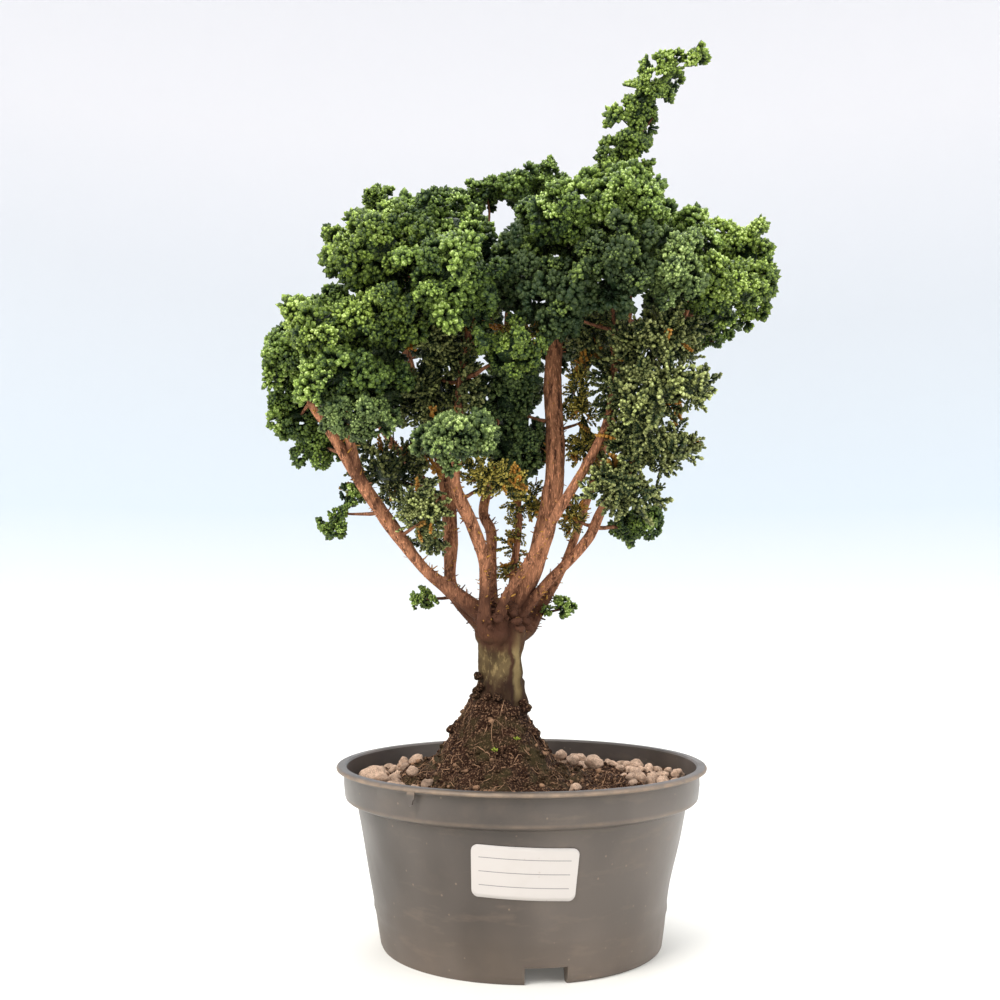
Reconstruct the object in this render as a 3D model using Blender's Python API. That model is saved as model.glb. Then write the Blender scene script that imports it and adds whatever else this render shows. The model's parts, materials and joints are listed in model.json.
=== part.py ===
"""Hinoki cypress bonsai in its nursery pot.

The origin is on the floor under the pot's axis, +Z is up and the front faces -Y.
Sizes are in metres. Routes of limbs and places of foliage are in millimetres and
become metres where they are read. A limb's route is a hand-chosen list of
x, y, z and radius. A foliage node is one or more masses, each with a centre and
half sizes, which blunt fingers of foliage stand out of on every side.
"""
import math
import random

import bmesh
import bpy
import numpy as np
from mathutils import Matrix, Vector

MM = 0.001
GAP = 0.0003

# Pot: a turned plastic shell with a lip, a collar, a tapered body and a foot ring
POT_SIDES = 32
POT_HEIGHT = 0.085
LIP_RADIUS = 0.090
LIP_THICKNESS = 0.0032
COLLAR_RADIUS = 0.0866
COLLAR_BOTTOM = 0.0698
SHOULDER_RADIUS = 0.0800
SHOULDER_HEIGHT = 0.0673
BASE_RADIUS = 0.0680
WALL = 0.0016
FOOT_RING_WIDTH = 0.0040
FLOOR_UNDERSIDE = 0.0085
FLOOR_TOP = 0.0105
FLOOR_MIDDLE = 0.0010
RING_DRAFT = 0.0010
COLLAR_DRAFT = 0.0010
LIP_DRAFT = 0.0004
INNER_DRAFT = 0.0004
INNER_STEP = 0.0020
NOTCH_WIDTH = 0.0185
NOTCH_HEIGHT = 0.0075
NOTCH_COUNT = 3
FIRST_NOTCH = math.radians(-82)
DRAIN_RADIUS = 0.0045
DRAIN_CIRCLE = 0.0450
DRAIN_COUNT = 4
DRAIN_SIDES = 6
TAB_SIZE = (0.0058, 0.0012, 0.0045)
TAB_ANGLE = math.radians(236)
TAB_INSET = 0.0016
TAB_SUNK = 0.0010

# Label: a paper sticker that follows the front of the pot's body
LABEL_WIDTH = 0.0457
LABEL_HEIGHT = 0.0230
LABEL_CORNER = 0.0030
LABEL_THICKNESS = 0.0006
LABEL_MIDDLE = 0.0491
LABEL_TILT = math.radians(-2.7)
LABEL_COLUMNS = 12

# Soil: fills the pot and rises in a mound round the trunk
TRUNK_SIDES = 10
TRUNK_AXIS = (-0.0100, -0.0010)
ROOT_END = 0.0800
ROOT_RADIUS = 0.0120
SOIL_SIDES = 2 * TRUNK_SIDES
SOIL_LEVEL = 0.0760
SOIL_COLLAR_STEP = 0.0026
SOIL_SHOULDER_STEP = 0.0012
MOUND_TOP = 0.1170
MOUND_RINGS = ((0.0195, 0.1040), (0.0290, 0.0925), (0.0400, 0.0812), (0.0520, 0.0760))
MOUND_ROUGHNESS = 0.0018

# Gravel: the radii of each patch's rows of pebbles, and the angles that the rows run between
PEBBLE_RADIUS = 0.0056
PEBBLE_PITCH = 0.0098
PEBBLE_SIZES = (0.9, 1.15)
PEBBLE_HEIGHTS = (0.65, 0.9)
PEBBLE_LIFT = 0.55
GRAVEL = {
    "gravel_left": ((0.0670, 0.0755), math.radians(143), math.radians(214)),
    "gravel_right": ((0.0670, 0.0755), math.radians(-13), math.radians(66)),
}

# Limbs and twigs: a twig leaves its limb low down, sags a little and ends facing its mass
THICK_LIMB = 0.0060
THICK_LIMB_SIDES = 6
THIN_LIMB_SIDES = 5
TWIG_SIDES = 3
TWIG_END_RADIUS = 0.0012
TWIG_BEND_RADIUS = 0.0015
TWIG_BEND_SHARE = 0.45
TWIG_SAG = 0.06
TWIG_LOW_START = 0.4
TWIG_FOOT_SHARE = 0.75
TWIG_FLARE = 0.018
SHORTEST_TWIG = 0.0020

# Foliage: blunt fingers are raised from faces of a mass's core, most of them facing outwards
CROWN_HALF_WIDTH = 0.1270
CROWN_HALF_DEPTH = 0.0885
CROWN_HALF_HEIGHT = 0.1200
CROWN_MIDDLE = (0.0, 0.0, 0.270)
CORE_SHARE = 0.75
CORE_ROUGHNESS = 0.07
FINGER_TAPER = 0.56
FINGER_COUNT = 19
FINGER_SCATTER = 1.6
FINGER_LENGTHS = (0.88, 1.0)
SHORTEST_FINGER = 0.0026
SMALL_FINGER_COUNT = 12
SMALL_MASS = 0.0155
STEM_LENGTH = 0.0030
STEM_RADIUS = 0.0016
LINK_RADIUS = 0.0030

# Masses are bounded only by what lies near them, and wood takes no more than this share of one
CLEAR_APART = 0.0090
NEAR_WOOD = 0.0010
WOOD_SHARE = 0.3
TRIAL_COUNT = 600
FAR = 1.0

TRUNK = [(-10, -1, 80, 12), (-10, -1, 114, 12), (-10, -1, 124, 10), (-10, -1, 140, 10.6),
         (-10, -1, 150, 11.5), (-10, -1, 157, 8)]

# Limbs: the first seven rise from the whorl on top of the trunk, the others fork off
LIMBS = {
    "left": [(-10, -2, 146, 9), (-16, -4, 155, 8), (-36, -6, 170, 6.5), (-48, -8, 180, 6),
             (-61, -10, 197, 5.5), (-71, -12, 211, 5), (-82, -15, 228, 4.5),
             (-89, -17, 240, 4), (-97, -17, 252, 3.2), (-104, -12, 261, 2.2)],
    "back_left": [(-14, 6, 148, 7.5), (-31, 14, 164, 7), (-36, 18, 175, 6.5),
                  (-36, 22, 195, 6), (-38, 26, 220, 5.2), (-44, 30, 245, 4.6),
                  (-53, 32, 270, 4), (-60, 30, 295, 3.4), (-66, 27, 320, 2.6)],
    "front_left": [(-10, -6, 146, 8), (-17, -10, 152, 7), (-18, -16, 182, 6.5),
                   (-24, -22, 201, 6), (-31, -30, 215, 5.5), (-32, -31, 226, 4.8),
                   (-31, -24, 245, 4), (-30, -17, 266, 3.5), (-27, -13, 290, 3),
                   (-22, -9, 312, 2.6), (-17, -6, 332, 2)],
    "back_middle": [(-14, 8, 160, 5), (-15, 16, 184, 4.5), (-15, 22, 199, 4.2),
                    (-19, 26, 209, 4), (-16, 31, 225, 3.5), (-12, 36, 245, 3.1),
                    (-10, 40, 270, 2.7), (-8, 42, 296, 2.3), (-6, 42, 322, 1.9)],
    "thin_middle": [(-6, 8, 152, 3.6), (-5, 14, 169, 3.3), (-3, 17, 183, 3),
                    (-1, 19, 199, 2.6), (-1, 20, 219, 2.4), (-1, 20, 240, 2.1),
                    (0, 20, 262, 1.8)],
    "leader": [(-7, 0, 146, 9), (-3, -2, 159, 8), (2, -4, 171, 8), (7, -5, 182, 7.5),
               (11, -6, 196, 7), (15, -6, 213, 6.5), (17, -6, 226, 6.5), (17, -5, 248, 6),
               (16, -4, 266, 6), (17, -2, 294, 5.5), (19, 2, 320, 4.6), (27, 4, 342, 3.6),
               (36, 2, 358, 2.6)],
    "front_right": [(-10, -8, 148, 7), (-9, -14, 163, 6.5), (0, -18, 178, 6),
                    (8, -22, 191, 5.5), (14, -24, 201, 5), (22, -25, 214, 4.5),
                    (30, -25, 227, 4.2), (36, -25, 238, 4), (41, -23, 250, 3.5),
                    (45, -17, 270, 3), (46, -14, 292, 2.6), (44, -16, 312, 2)],
    "right": [(-6, -2, 148, 7), (-1, -4, 156, 6.5), (12, -8, 172, 6), (24, -10, 184, 5.5),
              (31, -10, 192, 5.2), (35, -8, 198, 5), (40, -6, 209, 4.5), (47, -4, 216, 4.2),
              (56, 0, 231, 4), (63, 3, 244, 3.5), (70, 5, 263, 3.1), (76, 6, 285, 2.7),
              (83, 5, 306, 2.3), (90, 3, 322, 1.8)],
    "back_right": [(-5, 6, 146, 7), (3, 10, 150, 6.3), (9, 14, 158, 5.5), (15, 18, 168, 5),
                   (21, 22, 178, 4.5), (27, 27, 192, 4), (34, 34, 212, 3.6),
                   (42, 39, 235, 3.2), (50, 42, 260, 2.8), (56, 43, 290, 2.4),
                   (60, 41, 318, 1.9)],
    "left_fork": [(-79, -14, 224, 3.8), (-84, -18, 244, 3.2), (-88, -20, 264, 2.7),
                  (-90, -19, 286, 2)],
    "back_left_fork": [(-37, 24, 208, 4), (-52, 34, 228, 3.2), (-70, 40, 250, 2.6),
                       (-83, 42, 270, 2)],
}

# Foliage: name, tint, the limb that it grows from, then the centre and half sizes of its masses
FOLIAGE = [
    ("leader_spray", "bright", "leader",
     [((49, 0, 373), (18, 18, 15)), ((55, -1, 392), (11, 12, 11)), ((59, -2, 407), (12, 11, 9)),
      ((64, -3, 419), (11, 10, 9)), ((73, -3, 430), (10, 9, 9)), ((84, -4, 439), (10, 7, 7))]),
    ("peak_tuft", "green", "leader", [((14, 5, 373), (12, 15, 13))]),
    ("arch_spray", "green", "front_left",
     [((-28, 0, 367), (12, 11, 8)), ((-15, 0, 372), (15, 10, 7)), ((1, 0, 373), (11, 9, 8))]),
    ("top_left_tuft", "bright", "back_left", [((-73, 12, 364), (10, 12, 12))]),
    ("top_left_mass", "green", "back_left", [((-50, 6, 350), (24, 30, 20))]),
    ("left_shoulder", "bright", "back_left", [((-80, 6, 343), (18, 21, 14))]),
    ("left_front_mass", "bright", "left_fork", [((-62, -40, 322), (31, 31, 25))]),
    ("upper_middle_left", "green", "front_left", [((-36, -22, 341), (20, 26, 18))]),
    ("front_middle_left", "green", "front_left", [((-33, -52, 311), (26, 29, 23))]),
    ("front_middle", "deep", "front_left", [((-4, -38, 317), (20, 29, 21))]),
    ("front_top", "green", "leader", [((20, -40, 338), (25, 35, 18))]),
    ("front_heart", "deep", "front_right", [((14, -44, 308), (23, 25, 24))]),
    ("right_front_top", "green", "front_right", [((46, -42, 345), (24, 33, 19))]),
    ("right_front_mass", "deep", "front_right", [((42, -58, 317), (24, 26, 23))]),
    ("right_shoulder", "green", "right", [((76, -12, 339), (21, 31, 17))]),
    ("right_fan", "blue", "front_right", [((68, -56, 316), (16, 20, 19))]),
    ("right_front_pad", "bright", "right", [((91, -36, 311), (20, 27, 15))]),
    ("far_right_lobe", "bright", "right",
     [((110, 0, 340), (17, 23, 16)), ((115, 0, 322), (20, 22, 18))]),
    ("right_sprig", "green", "right", [((97, -8, 294), (8, 9, 6))]),
    ("upper_left_lobe", "green", "left_fork", [((-101, 8, 311), (17, 21, 11))]),
    ("left_front_band", "bright", "left_fork",
     [((-66, -46, 296), (25, 26, 16)), ((-86, -44, 288), (23, 26, 15))]),
    ("left_lobe", "green", "left", [((-109, -6, 281), (25, 29, 15))]),
    ("left_front_lobe", "green", "left_fork", [((-80, -42, 268), (24, 24, 20))]),
    ("left_inner_mass", "deep", "left_fork", [((-64, -10, 278), (20, 26, 25))]),
    ("left_blue_tuft", "blue", "left", [((-75, -44, 250), (17, 20, 13))]),
    ("left_edge_tuft", "green", "left", [((-111, 2, 257), (15, 21, 16))]),
    ("left_hanging_tuft", "green", "left", [((-100, 8, 244), (17, 17, 12))]),
    ("inner_left_column", "olive", "front_left",
     [((-44, -16, 290), (23, 28, 23)), ((-46, -6, 266), (23, 25, 23))]),
    ("front_pad", "blue", "front_left", [((-29, -58, 238), (17, 22, 12))]),
    ("amber_skirt", "amber", "front_left", [((-14, -26, 222), (15, 15, 10))]),
    ("golden_sprays", "olive", "front_left",
     [((-45, -30, 207), (11, 13, 12)), ((-49, -8, 195), (10, 11, 14))]),
    ("back_left_skirt", "olive", "back_left", [((-64, 16, 232), (24, 24, 23))]),
    ("left_twig_tuft", "green", "left",
     [((-93, 0, 200), (7, 7, 5)), ((-84, 2, 216), (7, 8, 7))]),
    ("front_middle_tuft", "bright", "front_left", [((-5, -48, 279), (18, 22, 11))]),
    ("middle_column", "blue", "thin_middle",
     [((-3, 2, 267), (20, 20, 23)), ((-1, 3, 242), (19, 19, 23))]),
    ("amber_heart", "amber", "leader", [((0, -24, 296), (13, 13, 10))]),
    ("olive_heart", "olive", "leader", [((33, 0, 300), (18, 23, 19))]),
    ("right_upper_ferns", "olive", "right", [((62, -28, 289), (28, 27, 26))]),
    ("right_middle_ferns", "olive", "right", [((62, -32, 262), (24, 27, 23))]),
    ("right_lower_ferns", "olive", "right", [((58, -26, 240), (22, 25, 20))]),
    ("right_hanging_ferns", "olive", "right", [((47, -24, 220), (17, 18, 16))]),
    ("lower_right_tuft", "green", "right", [((57, 6, 202), (15, 15, 9))]),
    ("brown_clump", "amber", "back_right", [((26, 6, 206), (8, 9, 9))]),
    ("collar_left_tuft", "green", "back_left", [((-48, 10, 164), (7, 8, 6))]),
    ("collar_right_tuft", "green", "back_right", [((21, 8, 160), (6, 7, 6))]),
    ("amber_column", "amber", "thin_middle", [((4, 10, 215), (10, 10, 15))]),
    ("leader_ferns", "amber", "leader",
     [((28, -3, 278), (8, 10, 9)), ((29, -3, 259), (8, 10, 8)), ((32, -3, 239), (9, 10, 8))]),
    ("back_top_left", "green", "back_left", [((-62, 46, 345), (34, 35, 28))]),
    ("back_top_middle", "green", "back_middle", [((-2, 44, 341), (33, 35, 19))]),
    ("back_top_right", "green", "back_right", [((60, 44, 352), (32, 35, 24))]),
    ("back_left_mass", "deep", "back_left_fork", [((-92, 42, 301), (30, 35, 27))]),
    ("back_middle_mass", "deep", "back_middle", [((-34, 62, 318), (38, 33, 25))]),
    ("back_right_mass", "deep", "back_right", [((87, 42, 319), (27, 35, 25))]),
    ("back_heart", "deep", "back_right", [((30, 64, 315), (35, 33, 29))]),
]

# Colours from the photograph: base colour and roughness
FINISHES = {
    "plastic": ((0.045, 0.045, 0.048), 0.55),
    "paper": ((0.86, 0.87, 0.88), 0.5),
    "soil": ((0.045, 0.026, 0.018), 0.95),
    "pebbles": ((0.36, 0.30, 0.25), 0.85),
    "bark": ((0.20, 0.105, 0.065), 0.85),
    "bright": ((0.19, 0.36, 0.06), 0.6),
    "green": ((0.07, 0.21, 0.04), 0.6),
    "deep": ((0.03, 0.11, 0.03), 0.6),
    "blue": ((0.08, 0.22, 0.12), 0.6),
    "olive": ((0.14, 0.15, 0.05), 0.65),
    "amber": ((0.34, 0.16, 0.03), 0.7),
}

SCENE = bpy.context.scene


def finish(name):
    """The material of that name, made once."""
    material = bpy.data.materials.get(name)
    if material is None:
        colour, roughness = FINISHES[name]
        material = bpy.data.materials.new(name)
        material.use_nodes = True
        shader = material.node_tree.nodes["Principled BSDF"]
        shader.inputs["Base Color"].default_value = (*colour, 1.0)
        shader.inputs["Roughness"].default_value = roughness
        material.diffuse_color = (*colour, 1.0)
    return material


def solid(name, points, faces, finish_name):
    """An object made from its points and faces."""
    mesh = bpy.data.meshes.new(name)
    mesh.from_pydata([tuple(point) for point in points], [], faces)
    piece = bpy.data.objects.new(name, mesh)
    SCENE.collection.objects.link(piece)
    mesh.materials.append(finish(finish_name))
    return piece


def is_closed(mesh):
    """Whether every edge of the mesh has two faces."""
    shape = bmesh.new()
    shape.from_mesh(mesh)
    closed = len(shape.faces) > 0 and all(edge.is_manifold for edge in shape.edges)
    shape.free()
    return closed


def shells(shape):
    """The mesh's connected groups of faces."""
    waiting = set(shape.faces)
    groups = []
    while waiting:
        group = [waiting.pop()]
        for face in group:
            for edge in face.edges:
                for neighbour in edge.link_faces:
                    if neighbour in waiting:
                        waiting.remove(neighbour)
                        group.append(neighbour)
        groups.append(group)
    return groups


def volume(faces):
    """The signed volume inside a shell of faces: six times each corner's tetrahedron."""
    total = 0.0
    for face in faces:
        corners = [vert.co for vert in face.verts]
        for second, third in zip(corners[1:], corners[2:]):
            total += corners[0].dot(second.cross(third)) / 6
    return total


def keep_main_shell(piece):
    """Fills sealed hollows and drops loose scraps: only the largest shell stays."""
    shape = bmesh.new()
    shape.from_mesh(piece.data)
    groups = sorted(shells(shape), key=volume)
    for group in groups[:-1]:
        bmesh.ops.delete(shape, geom=group, context="FACES")
    loose = [vert for vert in shape.verts if not vert.link_faces]
    bmesh.ops.delete(shape, geom=loose, context="VERTS")
    shape.to_mesh(piece.data)
    shape.free()


def united(piece, others, operation="UNION"):
    """Joins or cuts the piece with all the others at once, then removes the others."""
    group = bpy.data.collections.new("operands")
    SCENE.collection.children.link(group)
    for other in others:
        SCENE.collection.objects.unlink(other)
        group.objects.link(other)
    modifier = piece.modifiers.new("Joined", "BOOLEAN")
    modifier.operation = operation
    modifier.operand_type = "COLLECTION"
    modifier.collection = group
    for solver in ("EXACT", "MANIFOLD"):
        modifier.solver = solver
        bpy.context.view_layer.update()
        evaluated = piece.evaluated_get(bpy.context.evaluated_depsgraph_get())
        mesh = bpy.data.meshes.new_from_object(evaluated)
        if is_closed(mesh):
            break
    piece.modifiers.clear()
    piece.data = mesh
    name = piece.name.split(".")[0]
    for other in others:
        bpy.data.objects.remove(other)
    piece.name = name
    bpy.data.collections.remove(group)
    keep_main_shell(piece)
    return piece


def turned(profile, sides):
    """Points and faces of a closed profile of radii and heights, turned round Z."""
    points = [(radius * math.cos(math.tau * side / sides),
               radius * math.sin(math.tau * side / sides), height)
              for side in range(sides) for radius, height in profile]
    count = len(profile)
    faces = []
    for side in range(sides):
        here, there = side * count, (side + 1) % sides * count
        for row in range(count):
            after = (row + 1) % count
            faces.append((here + row, there + row, there + after, here + after))
    return points, faces


def body_radius(height):
    """The pot body's outer radius at a height below the shoulder."""
    return BASE_RADIUS + (SHOULDER_RADIUS - BASE_RADIUS) * height / SHOULDER_HEIGHT


def prism(name, centre, size, turn, finish_name):
    """A box with its own size, turned round Z."""
    x, y, z = (half / 2 for half in size)
    turning = Matrix.Translation(centre) @ Matrix.Rotation(turn, 4, "Z")
    corners = [turning @ Vector((i * x, j * y, k * z))
               for k in (-1, 1) for i, j in ((-1, -1), (1, -1), (1, 1), (-1, 1))]
    faces = [(3, 2, 1, 0), (4, 5, 6, 7), (0, 1, 5, 4), (1, 2, 6, 5), (2, 3, 7, 6), (3, 0, 4, 7)]
    return solid(name, corners, faces, finish_name)


def make_pot():
    """The pot's shell is turned, then its notches and drain holes are cut."""
    inner_base = body_radius(FLOOR_TOP) - WALL
    ring_inner = BASE_RADIUS - FOOT_RING_WIDTH
    lip_bottom = POT_HEIGHT - LIP_THICKNESS
    inner_collar = COLLAR_RADIUS - WALL
    profile = [
        (FLOOR_MIDDLE, FLOOR_UNDERSIDE), (ring_inner - RING_DRAFT, FLOOR_UNDERSIDE),
        (ring_inner, 0.0), (BASE_RADIUS, 0.0), (SHOULDER_RADIUS, SHOULDER_HEIGHT),
        (COLLAR_RADIUS - COLLAR_DRAFT, COLLAR_BOTTOM), (COLLAR_RADIUS, lip_bottom),
        (LIP_RADIUS, lip_bottom), (LIP_RADIUS - LIP_DRAFT, POT_HEIGHT),
        (inner_collar, POT_HEIGHT), (inner_collar - INNER_DRAFT, COLLAR_BOTTOM + INNER_STEP),
        (SHOULDER_RADIUS - WALL, SHOULDER_HEIGHT + INNER_DRAFT), (inner_base, FLOOR_TOP),
        (FLOOR_MIDDLE, FLOOR_TOP)]
    points, faces = turned(profile, POT_SIDES)
    # The two rings at the axis become the middles of the floor's two sides
    count = len(profile)
    faces = [face for face in faces if not {index % count for index in face} == {0, count - 1}]
    faces.append(tuple(side * count for side in reversed(range(POT_SIDES))))
    faces.append(tuple(side * count + count - 1 for side in range(POT_SIDES)))
    pot = solid("pot", points, faces, "plastic")
    cutters = []
    for number in range(NOTCH_COUNT):
        angle = FIRST_NOTCH + math.tau * number / NOTCH_COUNT
        centre = (BASE_RADIUS * math.cos(angle), BASE_RADIUS * math.sin(angle), 0.0)
        size = (4 * FOOT_RING_WIDTH, NOTCH_WIDTH, 2 * NOTCH_HEIGHT)
        cutters.append(prism("notch", centre, size, angle, "plastic"))
    for number in range(DRAIN_COUNT):
        angle = math.tau * (number + 0.5) / DRAIN_COUNT
        middle = Vector((DRAIN_CIRCLE * math.cos(angle), DRAIN_CIRCLE * math.sin(angle), 0))
        ends = [middle, middle + Vector((0, 0, 2 * FLOOR_TOP))]
        cutters.append(tube("drain", ends, [DRAIN_RADIUS] * 2, DRAIN_SIDES, "plastic"))
    united(pot, cutters, "DIFFERENCE")
    reach = LIP_RADIUS - TAB_INSET
    tab_centre = (reach * math.cos(TAB_ANGLE), reach * math.sin(TAB_ANGLE),
                  lip_bottom + TAB_SUNK - TAB_SIZE[2] / 2)
    tab = prism("tab", tab_centre, TAB_SIZE, TAB_ANGLE + math.pi / 2, "plastic")
    return united(pot, [tab])


def make_label():
    """The sticker: columns of points on the pot's cone, with rounded corners."""
    half_width, half_height = LABEL_WIDTH / 2, LABEL_HEIGHT / 2
    points = []
    for column in range(LABEL_COLUMNS + 1):
        # The columns lie closer together towards the ends, where the corners are
        across = -half_width * math.cos(math.pi * column / LABEL_COLUMNS)
        past = max(0.0, abs(across) - (half_width - LABEL_CORNER))
        drop = LABEL_CORNER - math.sqrt(LABEL_CORNER ** 2 - past ** 2)
        for up in (-half_height + drop, half_height - drop):
            side = across * math.cos(LABEL_TILT) - up * math.sin(LABEL_TILT)
            height = LABEL_MIDDLE + across * math.sin(LABEL_TILT) + up * math.cos(LABEL_TILT)
            angle = -math.pi / 2 + side / body_radius(LABEL_MIDDLE)
            for lift in (GAP, GAP + LABEL_THICKNESS):
                radius = body_radius(height) + lift
                points.append((radius * math.cos(angle), radius * math.sin(angle), height))
    faces = []
    for column in range(LABEL_COLUMNS):
        a, b = 4 * column, 4 * column + 4
        faces += [(a + 1, b + 1, b + 3, a + 3), (a, a + 2, b + 2, b), (a, b, b + 1, a + 1),
                  (a + 2, a + 3, b + 3, b + 2)]
    last = 4 * LABEL_COLUMNS
    faces += [(0, 1, 3, 2), (last, last + 2, last + 3, last + 1)]
    return solid("label", points, faces, "paper")


def make_soil():
    """The soil: a polar net from the trunk's hole to the pot's wall, then down to the floor."""
    draw = random.Random(11)
    # The pot's flat facets come closer to its axis than its corners do
    clearance = WALL + GAP + LIP_RADIUS * (1 - math.cos(math.pi / POT_SIDES))
    wall_outer = COLLAR_RADIUS - INNER_DRAFT - clearance
    wall_inner = SHOULDER_RADIUS - clearance
    floor_radius = body_radius(FLOOR_TOP) - clearance
    rim_rows = [(wall_outer, SOIL_LEVEL), (wall_outer, COLLAR_BOTTOM + SOIL_COLLAR_STEP),
                (wall_inner, SHOULDER_HEIGHT + SOIL_SHOULDER_STEP),
                (floor_radius, FLOOR_TOP + GAP)]
    hole_radius = ROOT_RADIUS + GAP
    points = []
    for side in range(SOIL_SIDES):
        angle = math.tau * side / SOIL_SIDES
        ray = Vector((math.cos(angle), math.sin(angle)))
        # Each second point of the hole is the middle of a side of the trunk's outline
        flat = math.cos(math.pi / TRUNK_SIDES) if side % 2 else 1.0
        hole = Vector(TRUNK_AXIS) + ray * hole_radius * flat
        points.append((*hole, ROOT_END - GAP))
        points.append((*hole, MOUND_TOP))
        for distance, height in MOUND_RINGS:
            rough = 0.0 if height == SOIL_LEVEL else MOUND_ROUGHNESS
            place = Vector(TRUNK_AXIS) + ray * (distance + draw.uniform(-rough, rough))
            points.append((*place, height + draw.uniform(-rough, rough)))
        points += [(*(ray * radius), height) for radius, height in rim_rows]
    count = len(points) // SOIL_SIDES
    faces = []
    for side in range(SOIL_SIDES):
        here, there = side * count, (side + 1) % SOIL_SIDES * count
        for row in range(count - 1):
            lower, upper = row, row + 1
            faces.append((here + upper, there + upper, there + lower, here + lower))
    faces.append(tuple(side * count for side in range(SOIL_SIDES)))
    faces.append(tuple(side * count + count - 1 for side in reversed(range(SOIL_SIDES))))
    return solid("soil", points, faces, "soil")


def sphere(detail, turning):
    """Directions and faces of a ball of triangles, its twelve first points the sharpest."""
    shape = bmesh.new()
    bmesh.ops.create_icosphere(shape, subdivisions=detail, radius=1.0)
    directions = [turning @ vert.co for vert in shape.verts]
    faces = [tuple(vert.index for vert in face.verts) for face in shape.faces]
    shape.free()
    return directions, faces


def random_turn(draw):
    """A turn about a random axis."""
    axis = Vector((draw.uniform(-1, 1), draw.uniform(-1, 1), draw.uniform(0.2, 1))).normalized()
    return Matrix.Rotation(draw.uniform(0, math.tau), 3, axis)


def make_pebble(name, x, y, draw):
    """A rough stone at one place, flattened where it lies just above the level soil."""
    directions, faces = sphere(1, random_turn(draw))
    size = PEBBLE_RADIUS * draw.uniform(*PEBBLE_SIZES)
    middle = Vector((x, y, SOIL_LEVEL + PEBBLE_LIFT * size))
    stretch = Vector([draw.uniform(*limits)
                      for limits in (PEBBLE_SIZES, PEBBLE_SIZES, PEBBLE_HEIGHTS)])
    points = [middle + size * stretch * direction for direction in directions]
    for point in points:
        point.z = max(point.z, SOIL_LEVEL + GAP)
    return solid(name, points, faces, "pebbles")


def make_gravel(name, rows, first_angle, last_angle, seed):
    """Rows of pebbles, each one touching its neighbours in its row and the next."""
    draw = random.Random(seed)
    pebbles = []
    for row, radius in enumerate(rows):
        count = round((last_angle - first_angle) * radius / PEBBLE_PITCH)
        for column in range(count):
            share = (column + 0.5 * (row % 2)) / count
            angle = first_angle + (last_angle - first_angle) * share
            pebbles.append(make_pebble(name, radius * math.cos(angle), radius * math.sin(angle),
                                       draw))
    return united(pebbles[0], pebbles[1:])


def limb_route(route):
    """The places and radii of a route, in metres."""
    return [Vector(row[:3]) * MM for row in route], [row[3] * MM for row in route]


def tube(name, places, radii, sides, finish_name):
    """A closed tube of flat rings square to the route, without twist."""
    across = Vector((1, 0, 0))
    points = []
    for index, place in enumerate(places):
        before = places[max(0, index - 1)]
        after = places[min(len(places) - 1, index + 1)]
        along = (after - before).normalized()
        if abs(along.dot(across)) > 0.9 and index == 0:
            across = Vector((0, 1, 0))
        across = (across - along * across.dot(along)).normalized()
        other = along.cross(across)
        for side in range(sides):
            angle = math.tau * side / sides
            points.append(place + radii[index] * (across * math.cos(angle) + other * math.sin(angle)))
    faces = [tuple(reversed(range(sides))), tuple(range(len(points) - sides, len(points)))]
    for row in range(len(places) - 1):
        for side in range(sides):
            a, b = row * sides + side, row * sides + (side + 1) % sides
            faces.append((a, b, b + sides, a + sides))
    return solid(name, points, faces, finish_name)


def twig_route(limb, centre, reach):
    """A twig's route: it leaves the limb low down and ends facing the mass it carries."""
    places, radii = limb
    nearest = min(range(len(places)), key=lambda index: (places[index] - centre).length)
    distance = (places[nearest] - centre).length
    foot = nearest
    while foot > 1 and (places[foot] - places[nearest]).length < TWIG_LOW_START * distance:
        foot -= 1
    start = places[foot]
    bend = start.lerp(centre, TWIG_BEND_SHARE) - Vector((0, 0, TWIG_SAG * distance))
    aim = (centre - bend).normalized()
    back = min(reach, (centre - bend).length - SHORTEST_TWIG)
    end = centre - aim * back
    least = radii[foot] + SHORTEST_TWIG
    if (end - start).length < least:
        end = start + aim * least
    foot_radius = min(TWIG_FOOT_SHARE * radii[foot], TWIG_END_RADIUS + TWIG_FLARE * distance)
    return [start, bend, end], [foot_radius, TWIG_BEND_RADIUS, TWIG_END_RADIUS], aim


def directions_round(count):
    """Directions spread evenly over a ball along a golden spiral."""
    steps = np.arange(count) + 0.5
    height = 1 - 2 * steps / count
    turn = steps * math.pi * (3 - math.sqrt(5))
    ring = np.sqrt(1 - height ** 2)
    return np.column_stack([ring * np.cos(turn), ring * np.sin(turn), height])


TRIALS = directions_round(TRIAL_COUNT)


def half_extent(halves, normals):
    """How far a mass with these half sizes reaches along each direction."""
    return np.sqrt(((normals * np.array(halves)) ** 2).sum(axis=1))


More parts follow.
